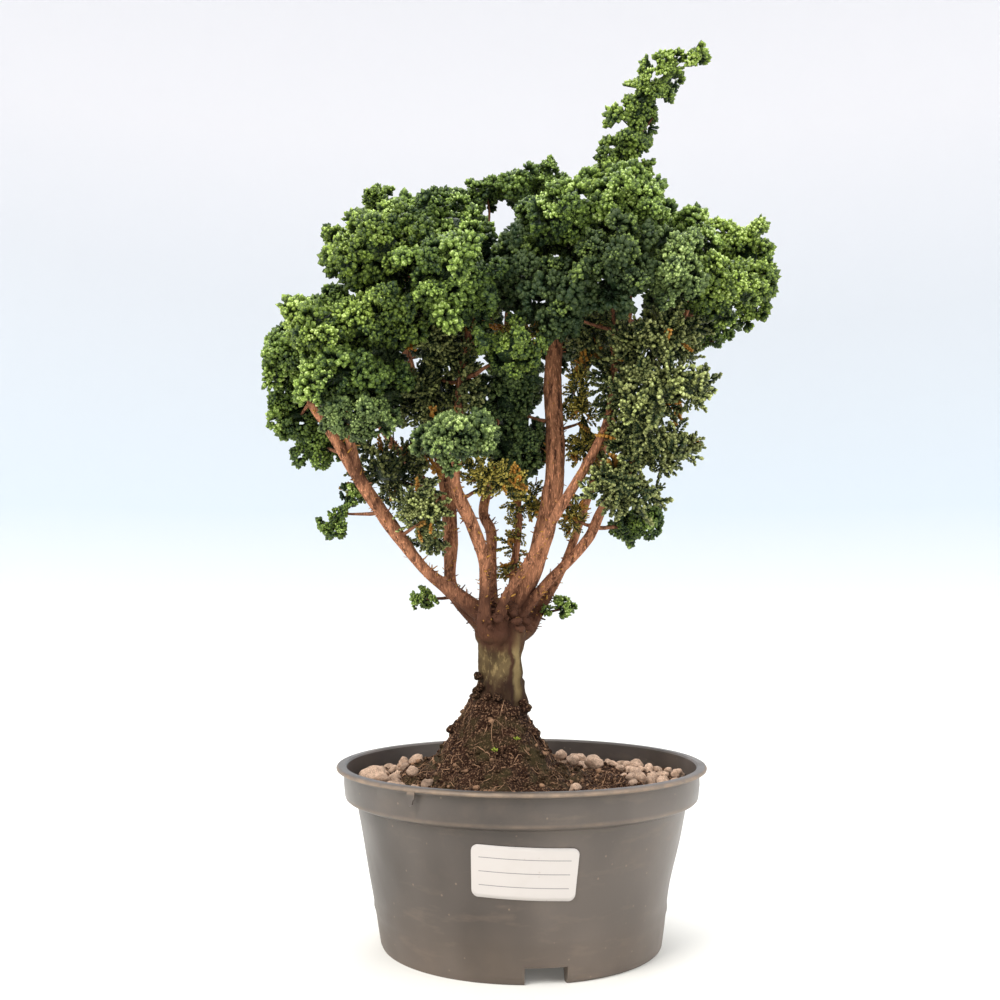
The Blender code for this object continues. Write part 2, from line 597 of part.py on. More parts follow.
class Mass:
    """One lump of a foliage node, with the flat bounds that hold it clear of its neighbours."""

    def __init__(self, node, centre, halves):
        self.node = node
        self.centre = Vector(centre) * MM
        self.halves = [half * MM for half in halves]
        self.small = max(self.halves) < SMALL_MASS
        # The crown's widest and deepest reach bounds every mass
        self.bounds = []
        for side in (-1, 1):
            self.add_bound((side, 0, 0), CROWN_HALF_WIDTH - side * self.centre.x)
            self.add_bound((0, side, 0), CROWN_HALF_DEPTH - side * self.centre.y)

    def add_bound(self, normal, distance):
        """Nothing of the mass lies further than the distance along the normal."""
        self.bounds.append((Vector(normal), distance))

    def size(self, direction):
        """The mass's own half size along a direction, with no neighbours."""
        return 1 / math.sqrt(sum((part / half) ** 2 for part, half in zip(direction, self.halves)))

    def room(self, direction, margin):
        """How far the bounds let the mass go along a direction."""
        room = FAR
        for normal, distance in self.bounds:
            slope = direction.dot(normal)
            if slope > 0:
                room = min(room, max(0.0, distance - margin) / slope)
        return room

    def reach(self, direction, margin):
        """How far a finger may go along a direction."""
        return min(self.size(direction), self.room(direction, margin))

    def core_reach(self, direction):
        """How far the core goes along a direction: close to the bounds, short of the size."""
        smoothed = (1 - CORE_ROUGHNESS) * self.room(direction, 0.0)
        return min(CORE_SHARE * self.size(direction), smoothed)


def part_neighbours(first, second):
    """Puts one flat bound between two masses, where they are best parted."""
    offset = np.array(second.centre - first.centre)
    reach_first = half_extent(first.halves, TRIALS)
    reach_second = half_extent(second.halves, TRIALS)
    between = TRIALS @ offset
    room = between - reach_first - reach_second
    best = int(np.argmax(room))
    if room[best] > CLEAR_APART:
        return
    share = reach_first[best] / (reach_first[best] + reach_second[best])
    plane = between[best] * share
    first.add_bound(TRIALS[best], plane - GAP / 2)
    second.add_bound(-TRIALS[best], between[best] - plane - GAP / 2)


def part_from_wood(mass, start, end, radius):
    """Puts a flat bound between a mass and one straight stretch of a limb or twig."""
    ends = np.array([start - mass.centre, end - mass.centre])
    distance = (TRIALS @ ends.T).min(axis=1) - radius - GAP
    lost = half_extent(mass.halves, TRIALS) - distance
    if lost.min() < -NEAR_WOOD:
        return
    lost[distance < WOOD_SHARE * min(mass.halves)] += FAR
    best = int(np.argmin(lost))
    mass.add_bound(TRIALS[best], float(distance[best]))


def make_mass(name, mass, draw, tint):
    """A rough core whose faces are raised into blunt fingers wherever there is room."""
    directions, core_faces = sphere(1 if mass.small else 2, random_turn(draw))
    points = []
    for direction in directions:
        rough = draw.uniform(1 - CORE_ROUGHNESS, 1 + CORE_ROUGHNESS)
        points.append(mass.centre + direction * mass.core_reach(direction) * rough)
    crown = Vector((CROWN_HALF_WIDTH, CROWN_HALF_DEPTH, CROWN_HALF_HEIGHT))
    from_middle = mass.centre - Vector(CROWN_MIDDLE)
    outwards = Vector([part / half ** 2 for part, half in zip(from_middle, crown)]).normalized()
    order = {}
    for face in core_faces:
        facing = sum((directions[index] for index in face), Vector()).normalized()
        order[face] = draw.uniform(-FINGER_SCATTER, FINGER_SCATTER) - facing.dot(outwards)
    most = SMALL_FINGER_COUNT if mass.small else FINGER_COUNT
    faces = []
    for face in sorted(core_faces, key=order.get):
        root = [points[index] for index in face]
        end = finger_end(mass, root, draw) if most else None
        if end is None:
            faces.append(face)
            continue
        most -= 1
        first = len(points)
        points += end
        a, b, c = face
        faces += [(a, b, first + 1, first), (b, c, first + 2, first + 1),
                  (c, a, first, first + 2), (first, first + 1, first + 2)]
    return solid(name, points, faces, tint)


def finger_end(mass, root, draw):
    """The three corners of a finger's end, or None where there is no room for a finger."""
    middle = sum(root, Vector()) / 3
    offsets = [FINGER_TAPER * (corner - middle) for corner in root]
    radius = max(offset.length for offset in offsets)
    direction = (middle - mass.centre).normalized()
    length = mass.reach(direction, radius) * draw.uniform(*FINGER_LENGTHS)
    if length < (middle - mass.centre).length + SHORTEST_FINGER:
        return None
    return [mass.centre + direction * length + offset for offset in offsets]


def make_foliage(name, tint, masses, stem, seed):
    """Fuses a node's masses, with a stem to its twig and links from mass to mass."""
    draw = random.Random(seed)
    pieces = [tube(name, *stem, TWIG_SIDES, tint)]
    for number, mass in enumerate(masses):
        pieces.append(make_mass(name, mass, draw, tint))
        if number:
            link = [masses[number - 1].centre, mass.centre]
            pieces.append(tube(name, link, [LINK_RADIUS, LINK_RADIUS], TWIG_SIDES, tint))
    return united(pieces[1], pieces[:1] + pieces[2:])


def make_limbs(limbs):
    """A tube for each limb, and the straight stretches that foliage keeps clear of."""
    wood = []
    stretches = []
    for name, (places, radii) in limbs.items():
        sides = THICK_LIMB_SIDES if radii[0] > THICK_LIMB else THIN_LIMB_SIDES
        wood.append(tube(name, places, radii, sides, "bark"))
        stretches += [(None, *stretch) for stretch in zip(places, places[1:], radii)]
    return wood, stretches


def make_twig(name, mass, limb):
    """A twig to a mass, its stretches, and the stem that starts at its end."""
    reach = CORE_SHARE * min(mass.halves) + STEM_LENGTH
    route, radii, aim = twig_route(limb, mass.centre, reach)
    twig = tube(name, route, radii, TWIG_SIDES, "bark")
    # Only the last stretch may come close to the mass, which stops short of its end
    stretches = [(None, route[0], route[1], radii[0]), (mass, route[1], route[2], radii[1])]
    end = route[-1]
    mass.add_bound(-aim, (mass.centre - end).length - GAP)
    stem = ([end + aim * GAP, mass.centre], [TWIG_END_RADIUS, STEM_RADIUS])
    return twig, stretches, stem


def part_everything(masses, stretches):
    """Keeps each mass clear of its neighbours and of the wood."""
    for index, first in enumerate(masses):
        for second in masses[index + 1:]:
            if first.node != second.node:
                part_neighbours(first, second)
        for carried, start, end, radius in stretches:
            if carried is not first:
                part_from_wood(first, start, end, radius)


def main():
    """Builds the pot, label, soil, gravel, wood and foliage."""
    for piece in list(bpy.data.objects):
        bpy.data.objects.remove(piece)
    make_pot()
    make_label()
    make_soil()
    for seed, (name, patch) in enumerate(GRAVEL.items()):
        make_gravel(name, *patch, seed)

    limbs = {name: limb_route(route) for name, route in LIMBS.items()}
    wood, stretches = make_limbs(limbs)
    nodes = []
    for name, tint, limb, lumps in FOLIAGE:
        masses = [Mass(name, centre, halves) for centre, halves in lumps]
        twig, twig_stretches, stem = make_twig(name, masses[0], limbs[limb])
        wood.append(twig)
        stretches += twig_stretches
        nodes.append((name, tint, masses, stem))
    united(tube("trunk_and_branches", *limb_route(TRUNK), TRUNK_SIDES, "bark"), wood)

    part_everything([mass for node in nodes for mass in node[2]], stretches)
    for seed, (name, tint, masses, stem) in enumerate(nodes):
        make_foliage("foliage_" + name, tint, masses, stem, seed)


main()
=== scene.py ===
"""Hinoki cypress bonsai in its nursery pot: every surface's finish, and the studio round it.

Sizes are in metres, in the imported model's frame: the origin is on the floor under the pot's
axis, +Z is up and the labelled front faces -Y. The tables of limbs, clods, stones and sprouts
are in millimetres, and become metres where they are read. Each piece is a surface worked out
with numpy, and takes the place of the node that it is built round.
"""
import json
import math

import bmesh
import bpy
import numpy as np
from bpy.props import FloatProperty, FloatVectorProperty, IntProperty, PointerProperty
from mathutils.bvhtree import BVHTree
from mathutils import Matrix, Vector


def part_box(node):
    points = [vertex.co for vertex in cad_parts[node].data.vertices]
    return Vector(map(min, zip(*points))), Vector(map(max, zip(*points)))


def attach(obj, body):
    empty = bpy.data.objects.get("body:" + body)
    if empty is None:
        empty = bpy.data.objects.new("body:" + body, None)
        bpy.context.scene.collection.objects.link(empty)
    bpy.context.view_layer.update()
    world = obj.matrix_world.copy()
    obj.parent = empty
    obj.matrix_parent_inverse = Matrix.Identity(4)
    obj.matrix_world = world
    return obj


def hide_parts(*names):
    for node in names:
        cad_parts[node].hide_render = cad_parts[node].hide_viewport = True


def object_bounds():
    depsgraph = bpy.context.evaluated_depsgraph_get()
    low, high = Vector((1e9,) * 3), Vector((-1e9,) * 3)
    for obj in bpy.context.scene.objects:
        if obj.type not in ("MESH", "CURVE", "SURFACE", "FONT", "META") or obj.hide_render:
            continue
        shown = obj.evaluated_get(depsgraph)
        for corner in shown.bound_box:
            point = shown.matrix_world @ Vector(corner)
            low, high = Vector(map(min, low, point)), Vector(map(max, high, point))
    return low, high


bl_info = {
    "name": "Hinoki Cypress Bonsai",
    "version": (1, 0, 0),
    "blender": (4, 5, 0),
    "location": "View3D > Sidebar > Bonsai",
    "description": "Builds a potted hinoki cypress: pot, label, soil, gravel, bark and foliage",
    "category": "Object",
}

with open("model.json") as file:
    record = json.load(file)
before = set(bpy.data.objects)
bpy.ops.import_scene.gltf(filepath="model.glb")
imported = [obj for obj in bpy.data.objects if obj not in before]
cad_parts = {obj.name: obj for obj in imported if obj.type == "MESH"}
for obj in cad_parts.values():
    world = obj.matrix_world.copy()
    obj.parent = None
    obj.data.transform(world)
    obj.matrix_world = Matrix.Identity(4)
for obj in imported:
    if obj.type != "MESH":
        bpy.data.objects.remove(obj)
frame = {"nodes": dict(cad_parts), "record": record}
CAD_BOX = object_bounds()
LOWEST, HIGHEST = (np.array(corner) for corner in CAD_BOX)
POT_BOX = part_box("pot")

MM = 0.001
TRUNK_AXIS = np.array([-0.010, -0.001])
# The soil's height at the pot's wall
SOIL_LEVEL = 0.0755

# Limbs: places and radii
LIMBS = {
    "trunk": [(-10, -1, 80, 12.6), (-10, -1, 100, 13.5), (-10, -1, 112, 12.4), (-10, -1, 124, 10.6),
              (-10, -1, 140, 10.9), (-10, -1, 149, 11.4), (-10, -1, 155, 8.5), (-10, -1, 159, 3)],
    "left": [(-10, -2, 146, 9), (-16, -4, 155, 8), (-36, -6, 170, 6.5), (-48, -8, 180, 6),
             (-61, -10, 197, 5.5), (-71, -12, 211, 5), (-82, -15, 228, 4.5),
             (-89, -17, 240, 4), (-97, -17, 252, 3.2), (-104, -12, 261, 2.2)],
    "back_left": [(-14, 6, 148, 7.5), (-31, 14, 164, 7), (-36, 18, 175, 6.5),
                  (-36, 22, 195, 6), (-38, 26, 220, 5.2), (-44, 30, 245, 4.6),
                  (-53, 32, 270, 4), (-60, 30, 295, 3.4), (-66, 27, 320, 2.6)],
    "front_left": [(-10, -6, 146, 8), (-17, -10, 152, 7), (-18, -16, 182, 6.5),
                   (-24, -22, 201, 6), (-31, -30, 215, 5.5), (-32, -31, 226, 4.8),
                   (-31, -24, 245, 4), (-30, -17, 266, 3.5), (-27, -13, 290, 3),
                   (-22, -9, 312, 2.6), (-17, -6, 332, 2)],
    "back_middle": [(-14, 8, 160, 5), (-15, 16, 184, 4.5), (-15, 22, 199, 4.2),
                    (-19, 26, 209, 4), (-16, 31, 225, 3.5), (-12, 36, 245, 3.1),
                    (-10, 40, 270, 2.7), (-8, 42, 296, 2.3), (-6, 42, 322, 1.9)],
    "thin_middle": [(-6, 8, 152, 3.6), (-5, 14, 169, 3.3), (-3, 17, 183, 3),
                    (-1, 19, 199, 2.6), (-1, 20, 219, 2.4), (-1, 20, 240, 2.1),
                    (0, 20, 262, 1.8)],
    "leader": [(-7, 0, 146, 9), (-3, -2, 159, 8), (2, -4, 171, 8), (7, -5, 182, 7.5),
               (11, -6, 196, 7), (15, -6, 213, 6.5), (17, -6, 226, 6.5), (17, -5, 248, 6),
               (16, -4, 266, 6), (17, -2, 294, 5.5), (19, 2, 320, 4.6), (27, 4, 342, 3.6),
               (36, 2, 358, 2.6)],
    "front_right": [(-10, -8, 148, 7), (-9, -14, 163, 6.5), (0, -18, 178, 6),
                    (8, -22, 191, 5.5), (14, -24, 201, 5), (22, -25, 214, 4.5),
                    (30, -25, 227, 4.2), (36, -25, 238, 4), (41, -23, 250, 3.5),
                    (45, -17, 270, 3), (46, -14, 292, 2.6), (44, -16, 312, 2)],
    "right": [(-6, -2, 148, 7), (-1, -4, 156, 6.5), (12, -8, 172, 6), (24, -10, 184, 5.5),
              (31, -10, 192, 5.2), (35, -8, 198, 5), (40, -6, 209, 4.5), (47, -4, 216, 4.2),
              (56, 0, 231, 4), (63, 3, 244, 3.5), (70, 5, 263, 3.1), (76, 6, 285, 2.7),
              (83, 5, 306, 2.3), (90, 3, 322, 1.8)],
    "back_right": [(-5, 6, 146, 7), (3, 10, 150, 6.3), (9, 14, 158, 5.5), (15, 18, 168, 5),
                   (21, 22, 178, 4.5), (27, 27, 192, 4), (34, 34, 212, 3.6),
                   (42, 39, 235, 3.2), (50, 42, 260, 2.8), (56, 43, 290, 2.4),
                   (60, 41, 318, 1.9)],
    "left_fork": [(-79, -14, 224, 3.8), (-84, -18, 244, 3.2), (-88, -20, 264, 2.7),
                  (-90, -19, 286, 2)],
    "back_left_fork": [(-37, 24, 208, 4), (-52, 34, 228, 3.2), (-70, 40, 250, 2.6),
                       (-83, 42, 270, 2)],
}


def length(name, description, default):
    """A length property, in metres."""
    return FloatProperty(name=name, description=description, default=default, unit="LENGTH",
                         precision=4, min=0.0)


def colour(name, description, default):
    """A colour property, in linear light."""
    return FloatVectorProperty(name=name, description=description, default=default,
                               subtype="COLOR", size=3, min=0.0, max=1.0)


class PotSettings(bpy.types.PropertyGroup):
    """Sizes and colours of the nursery pot and its label."""

    height: length("Height", "From the floor to the rim", POT_BOX[1].z)
    lip_radius: length("Lip Radius", "Outer radius of the rolled lip", POT_BOX[1].x)
    lip_thickness: length("Lip Thickness", "Height of the lip's outer edge", 0.0022)
    collar_radius: length("Collar Radius", "Outer radius of the collar at the lip", 0.0866)
    collar_bottom: length("Collar Bottom", "Height of the collar's lower edge", 0.0698)
    shoulder_radius: length("Shoulder Radius", "Outer radius under the collar", 0.0800)
    shoulder_height: length("Shoulder Height", "Height of the step under the collar", 0.0673)
    base_radius: length("Base Radius", "Outer radius of the foot ring", 0.0680)
    wall: length("Wall", "Thickness of the pot's wall", 0.0016)
    notch_width: length("Notch Width", "Width of each drainage notch in the foot", 0.0185)
    notch_height: length("Notch Height", "Height of each drainage notch", 0.0075)
    plastic: colour("Plastic", "Colour of the clean plastic", (0.068, 0.057, 0.050))
    dust: colour("Dust", "Colour of dried dust and splashes", (0.30, 0.215, 0.15))
    paper: colour("Label Paper", "Colour of the label", (0.56, 0.515, 0.485))
    ink: colour("Label Ink", "Colour of the label's ruled lines", (0.10, 0.10, 0.11))


class SoilSettings(bpy.types.PropertyGroup):
    """Sizes and colours of the soil and the gravel on it."""

    crumb_count: IntProperty(name="Crumbs", description="Loose crumbs of soil", default=2300, min=0)
    crumb_size: length("Crumb Size", "Mean radius of a crumb", 0.00052)
    fibre_count: IntProperty(name="Fibres", description="Loose bark fibres", default=750, min=0)
    stone_size: length("Stone Size", "Mean radius of a stone", 0.0031)
    soil: colour("Soil", "Colour of the damp soil", (0.030, 0.012, 0.006))
    fibre: colour("Fibre", "Colour of the bark fibres", (0.52, 0.30, 0.175))
    moss: colour("Moss", "Colour of the thin moss", (0.040, 0.032, 0.012))
    sprout: colour("Sprout", "Colour of the tiny sprouts", (0.30, 0.36, 0.05))
    stone: colour("Stone", "Colour of the pumice stones", (0.70, 0.475, 0.335))


class WoodSettings(bpy.types.PropertyGroup):
    """Relief and colours of the bark."""

    relief: length("Relief", "Depth of the bark's ridges", 0.0006)
    stub_count: IntProperty(name="Stubs", description="Dead twig stubs on the limbs", default=1900,
                            min=0)
    bark: colour("Bark", "Colour of the bark's ridges", (0.56, 0.248, 0.130))
    groove: colour("Groove", "Colour of the bark's grooves", (0.070, 0.028, 0.016))
    trunk: colour("Trunk", "Colour of the lower trunk", (0.150, 0.112, 0.048))
    dead: colour("Dead Bark", "Colour of dead stubs and flakes", (0.56, 0.29, 0.06))


class FoliageSettings(bpy.types.PropertyGroup):
    """Sizes and colours of the foliage sprays."""

    tuft_area: FloatProperty(name="Tuft Area", description="Square centimetres of outline per tuft",
                             default=1.2, min=0.5)
    fan_reach: length("Fan Reach", "Length of a floret", 0.0084)
    fern_reach: length("Fern Reach", "Length of a fern-like spray", 0.0125)
    rooting: length("Rooting", "How far under the outline a tuft is rooted", 0.0060)
    bright: colour("Bright Tips", "Colour of young yellow-green tips", (0.320, 0.455, 0.050))
    green: colour("Green Tips", "Colour of mid-green tips", (0.245, 0.375, 0.046))
    deep: colour("Deep Green", "Colour of shaded, older tips", (0.049, 0.076, 0.019))
    blue: colour("Blue Green", "Colour of blue-green tips", (0.250, 0.350, 0.097))
    olive: colour("Olive", "Colour of olive, fern-like sprays", (0.370, 0.380, 0.125))
    amber: colour("Golden Brown", "Colour of fading inner sprays", (0.56, 0.42, 0.070))
    dead: colour("Dead", "Colour of dead scales", (0.52, 0.21, 0.028))
    shade: colour("Shade", "Colour deep inside every spray", (0.011, 0.029, 0.008))


class StageSettings(bpy.types.PropertyGroup):
    """The camera, the floor and the lights."""

    lens: FloatProperty(name="Lens", description="Focal length", default=42.8, unit="CAMERA")
    camera_height: length("Camera Height", "Height of the camera", 0.1715)
    camera_distance: length("Camera Distance", "From the pot's axis to the camera", 0.592)
    floor: colour("Floor", "Colour of the floor", (0.80, 0.78, 0.73))
    wall: colour("Backdrop", "Colour of the backdrop's foot", (0.655, 0.715, 0.760))
    behind: colour("Behind", "Colour of the room behind the camera", (0.50, 0.50, 0.51))
    upper: colour("Upper Backdrop", "Colour of the backdrop higher up", (0.835, 0.815, 0.830))
    sky: colour("Sky", "Colour of the soft light all round", (0.86, 0.93, 1.0))


# Arrays: noise, grids of faces and new pieces


def lattice_values(cells, seed):
    """A random number from 0 to 1 for each whole-number cell, from mixing its bits."""
    mixed = cells.astype(np.uint32)
    value = mixed[:, 0] * np.uint32(374761393) + mixed[:, 1] * np.uint32(668265263)
    value = value + mixed[:, 2] * np.uint32(2246822519) + np.uint32(seed * 3266489917 % 2 ** 32)
    value = (value ^ (value >> np.uint32(13))) * np.uint32(1274126177)
    return ((value ^ (value >> np.uint32(16))) & np.uint32(0xFFFF)) / 65535


def noise(points, size, seed=0):
    """Value noise from -1 to 1: random values at the corners of cells, blended smoothly."""
    scaled = np.reshape(points, (-1, 3)) / size
    cell = np.floor(scaled).astype(np.int64)
    part = scaled - cell
    blend = part * part * (3 - 2 * part)
    total = np.zeros(len(scaled))
    for corner in np.ndindex(2, 2, 2):
        weight = np.prod(np.where(corner, blend, 1 - blend), axis=1)
        total += weight * lattice_values(cell + corner, seed)
    return (2 * total - 1).reshape(np.shape(points)[:-1])


def layered_noise(points, size, layers, seed=0):
    """Several layers of noise, each half as large and half as strong as the one before."""
    total = np.zeros(np.shape(points)[:-1])
    for layer in range(layers):
        total += noise(points, size / 2 ** layer, seed + layer) / 2 ** layer
    return total


def smooth_step(low, high, value):
    """A smooth rise from 0 to 1 as the value goes from low to high."""
    share = np.clip((value - low) / (high - low), 0, 1)
    return share * share * (3 - 2 * share)


def lengths(vectors):
    """The length of each vector along the last axis."""
    return np.linalg.norm(vectors, axis=-1)


def unit(vectors):
    """Vectors along the last axis, at length one."""
    return vectors / np.maximum(lengths(vectors)[..., None], 1e-12)


def around(count):
    """Angles spread evenly over a full turn."""
    return np.arange(count) * math.tau / count


def spiral(count):
    """Angles that follow each other by the golden angle."""
    return np.arange(count) * math.pi * (3 - math.sqrt(5))


def rays(angle, *more):
    """The cosine and sine of each angle, and any further parts, as vectors."""
    return np.stack(np.broadcast_arrays(np.cos(angle), np.sin(angle), *more), axis=-1)


def grid_faces(rows, columns):
    """Four-cornered faces of a grid of points, row by row, its rows closed into rings."""
    row, column = np.mgrid[0:rows - 1, 0:columns]
    after = (column + 1) % columns
    corners = [row * columns + column, row * columns + after,
               (row + 1) * columns + after, (row + 1) * columns + column]
    return np.stack(corners, axis=-1).reshape(-1, 4)


def disc_faces(first, count, middle, turned=False):
    """Triangles from a ring of points to the point in its middle."""
    here = first + np.arange(count)
    there = first + (np.arange(count) + 1) % count
    pair = (there, here) if turned else (here, there)
    return np.column_stack([*pair, np.full(count, middle)])


class Shape:
    """Points, faces and values for each point, gathered from several surfaces."""

    def __init__(self):
        self.points = []
        self.faces = []
        self.values = {}
        self.count = 0

    def add(self, points, face_groups, **values):
        """One more surface. A value is a number or an array with one number for each point."""
        points = np.asarray(points, float).reshape(-1, 3)
        self.points.append(points)
        self.faces += [np.asarray(group) + self.count for group in face_groups if len(group)]
        for name, value in values.items():
            self.values.setdefault(name, []).append(np.broadcast_to(value, len(points)))
        self.count += len(points)

    def add_rings(self, rings, ends, inward=False, **values):
        """Rings joined into a skin, with a disc round a middle point at each of its two ends."""
        rows, columns = rings.shape[:2]
        last = rows * columns
        grid = grid_faces(rows, columns)
        self.add(np.concatenate([rings.reshape(-1, 3), ends]),
                 [grid[:, ::-1] if inward else grid,
                  disc_faces(0, columns, last, turned=not inward),
                  disc_faces(last - columns, columns, last + 1, turned=inward)], **values)

    def add_tube(self, path, radii, sides, relief=None, **values):
        """A round profile carried along a path, its ends closed by discs."""
        path = np.asarray(path, float)
        along = unit(np.gradient(path, axis=0))
        reference = np.eye(3)[np.argmin(np.abs(unit(path[-1] - path[0])))]
        across = unit(reference - along * (along @ reference)[:, None])
        other = np.cross(along, across)
        angle = around(sides)
        ray = across[:, None] * np.cos(angle)[:, None] + other[:, None] * np.sin(angle)[:, None]
        reach = np.asarray(radii, float)[:, None] * np.ones(sides)
        if relief is not None:
            reach = reach + relief(path, angle)
        spread = {name: np.concatenate([np.repeat(value, sides), value[:1], value[-1:]])
                  if np.ndim(value) else value for name, value in values.items()}
        self.add_rings(path[:, None] + ray * reach[..., None], path[[0, -1]], **spread)

    def add_copies(self, faces, places, **values):
        """Copies of a small shape, by each copy's points and its values, or its points' values."""
        copies, corners = places.shape[:2]
        steps = np.arange(copies)[:, None, None] * corners
        spread = {name: np.broadcast_to(value, (copies, corners)).ravel()
                  for name, value in values.items()}
        self.add(places, [(np.asarray(group) + steps).reshape(-1, group.shape[1])
                          for group in faces], **spread)

    def object(self, name, material):
        """The object at the origin, smooth, with its values as attributes."""
        mesh = bpy.data.meshes.new(name)
        points = np.concatenate(self.points)
        mesh.vertices.add(len(points))
        mesh.vertices.foreach_set("co", points.astype(np.float32).ravel())
        corners = np.concatenate([group.ravel() for group in self.faces])
        sizes = np.concatenate([np.full(len(group), group.shape[1]) for group in self.faces])
        mesh.loops.add(len(corners))
        mesh.loops.foreach_set("vertex_index", corners.astype(np.int32))
        mesh.polygons.add(len(sizes))
        mesh.polygons.foreach_set("loop_start", (np.cumsum(sizes) - sizes).astype(np.int32))
        mesh.update(calc_edges=True)
        mesh.shade_smooth()
        for value_name, parts in self.values.items():
            layer = mesh.attributes.new(value_name, "FLOAT", "POINT")
            layer.data.foreach_set("value", np.concatenate(parts).astype(np.float32))
        mesh.materials.append(material)
        made = bpy.data.objects.new(name, mesh)
        bpy.context.scene.collection.objects.link(made)
        return made

    def piece(self, name, material, node):
        """The object as a piece that rides on the root and stands for its node."""
        made = self.object(name, material)
        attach(made, "root")
        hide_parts(node)
        return made


def ball(detail):
    """The points and faces of a unit ball of triangles."""
    mesh = bmesh.new()
    bmesh.ops.create_icosphere(mesh, subdivisions=detail, radius=1.0)
    points = np.array([tuple(vert.co) for vert in mesh.verts])
    faces = np.array([[vert.index for vert in face.verts] for face in mesh.faces])
    mesh.free()
    return points, faces


def random_turns(draw, count):
    """Turning matrices in random directions, from random unit quaternions."""
    w, x, y, z = unit(draw.normal(size=(count, 4))).T
    rows = [[1 - 2 * (y * y + z * z), 2 * (x * y - w * z), 2 * (x * z + w * y)],
            [2 * (x * y + w * z), 1 - 2 * (x * x + z * z), 2 * (y * z - w * x)],
            [2 * (x * z - w * y), 2 * (y * z + w * x), 1 - 2 * (x * x + y * y)]]
    return np.transpose(rows, (2, 0, 1))


def lumps(draw, middles, sizes, flatness, roughness, detail):
    """Rough balls: each is stretched, dented by noise and turned at random."""
    points, faces = ball(detail)
    count = len(middles)
    stretch = draw.uniform(0.75, 1.25, (count, 1, 3))
    dents = np.stack([layered_noise(points + 9.7 * index, 0.9, 2, index % 97)
                      for index in range(count)])
    shaped = points * stretch * (1 + roughness * dents[..., None])
    turned = np.einsum("nij,nvj->nvi", random_turns(draw, count), shaped)
    turned[..., 2] *= flatness
    return middles[:, None] + turned * sizes[:, None, None], [faces]


# Shader recipes

# The kinds of the shared groups' sockets, where they aren't plain numbers
SOCKET_KINDS = {"Vector": "Vector", "Normal": "Vector", "Color": "Color",
                "Dark": "Color", "Main": "Color", "Light": "Color"}


class Value:
    """A node's output, from which sums, products and ranges can be worked out."""

    def __init__(self, recipe, socket):
        self.recipe = recipe
        self.socket = socket

    def __add__(self, other):
        return self.recipe.math("ADD", self, other)

    def __sub__(self, other):
        return self.recipe.math("SUBTRACT", self, other)

    def __rsub__(self, other):
        return self.recipe.math("SUBTRACT", other, self)

    def __mul__(self, other):
        return self.recipe.math("MULTIPLY", self, other)

    def __abs__(self):
        return self.recipe.math("ABSOLUTE", self)

    def spread(self, low, high, new_low=0.0, new_high=1.0):
        """The value moved from one range to another, and held inside it."""
        return self.recipe.add("ShaderNodeMapRange", {
            "Value": self, "From Min": low, "From Max": high,
            "To Min": new_low, "To Max": new_high}, "Result")

    def beside(self, name):
        """Another output of the same node."""
        return Value(self.recipe, self.socket.node.outputs[name])


class Recipe:
    """Adds nodes to a shader tree and links or sets their sockets."""

    def __init__(self, tree):
        self.tree = tree

    def feed(self, socket, value):
        """Links a socket to a value, or sets it to a number or a colour."""
        if isinstance(value, Value):
            self.tree.links.new(value.socket, socket)
        elif socket.type == "RGBA":
            socket.default_value = (*value[:3], 1.0)
        else:
            socket.default_value = value

    def add(self, kind, inputs, output=0, **settings):
        """One output of a new node. Inputs and outputs go by name or by number."""
        node = self.tree.nodes.new(kind)
        for name, value in settings.items():
            setattr(node, name, value)
        for name, value in inputs.items():
            self.feed(node.inputs[name], value)
        return Value(self, node.outputs[output])

    def math(self, operation, first, second=0.0):
        """The result of one sum."""
        return self.add("ShaderNodeMath", {0: first, 1: second}, operation=operation)

    def mix(self, share, first, second):
        """The second colour over the first one, by its share."""
        return self.add("ShaderNodeMix", {"Factor": share, 6: first, 7: second}, 2,
                        data_type="RGBA")

    def attribute(self, name):
        """The piece's own values of that name."""
        return self.add("ShaderNodeAttribute", {}, "Fac", attribute_name=name)

    def place(self, scale=(1, 1, 1)):
        """Object coordinates, stretched."""
        where = self.add("ShaderNodeTexCoord", {}, "Object")
        return self.add("ShaderNodeMapping", {"Vector": where, "Scale": scale})

    def axes(self, where):
        """The x, y and z of a place."""
        x = self.add("ShaderNodeSeparateXYZ", {"Vector": where}, "X")
        return x, x.beside("Y"), x.beside("Z")

    def noise(self, where, scale, detail=3.0, roughness=0.55):
        """Soft noise from 0 to 1."""
        return self.add("ShaderNodeTexNoise", {"Vector": where, "Scale": scale, "Detail": detail,
                                               "Roughness": roughness}, "Fac")

    def voronoi(self, where, scale):
        """The distance to the nearest of many scattered points."""
        return self.add("ShaderNodeTexVoronoi", {"Vector": where, "Scale": scale}, "Distance")

    def bump(self, height, strength, distance, **settings):
        """The normal of a surface that is raised by the height."""
        return self.add("ShaderNodeBump", {"Height": height, "Strength": strength,
                                           "Distance": distance}, **settings)

    def group(self, shared, *inputs):
        """The output of a shared group, for its inputs in order."""
        return self.add("ShaderNodeGroup", dict(enumerate(inputs)), node_tree=shared())


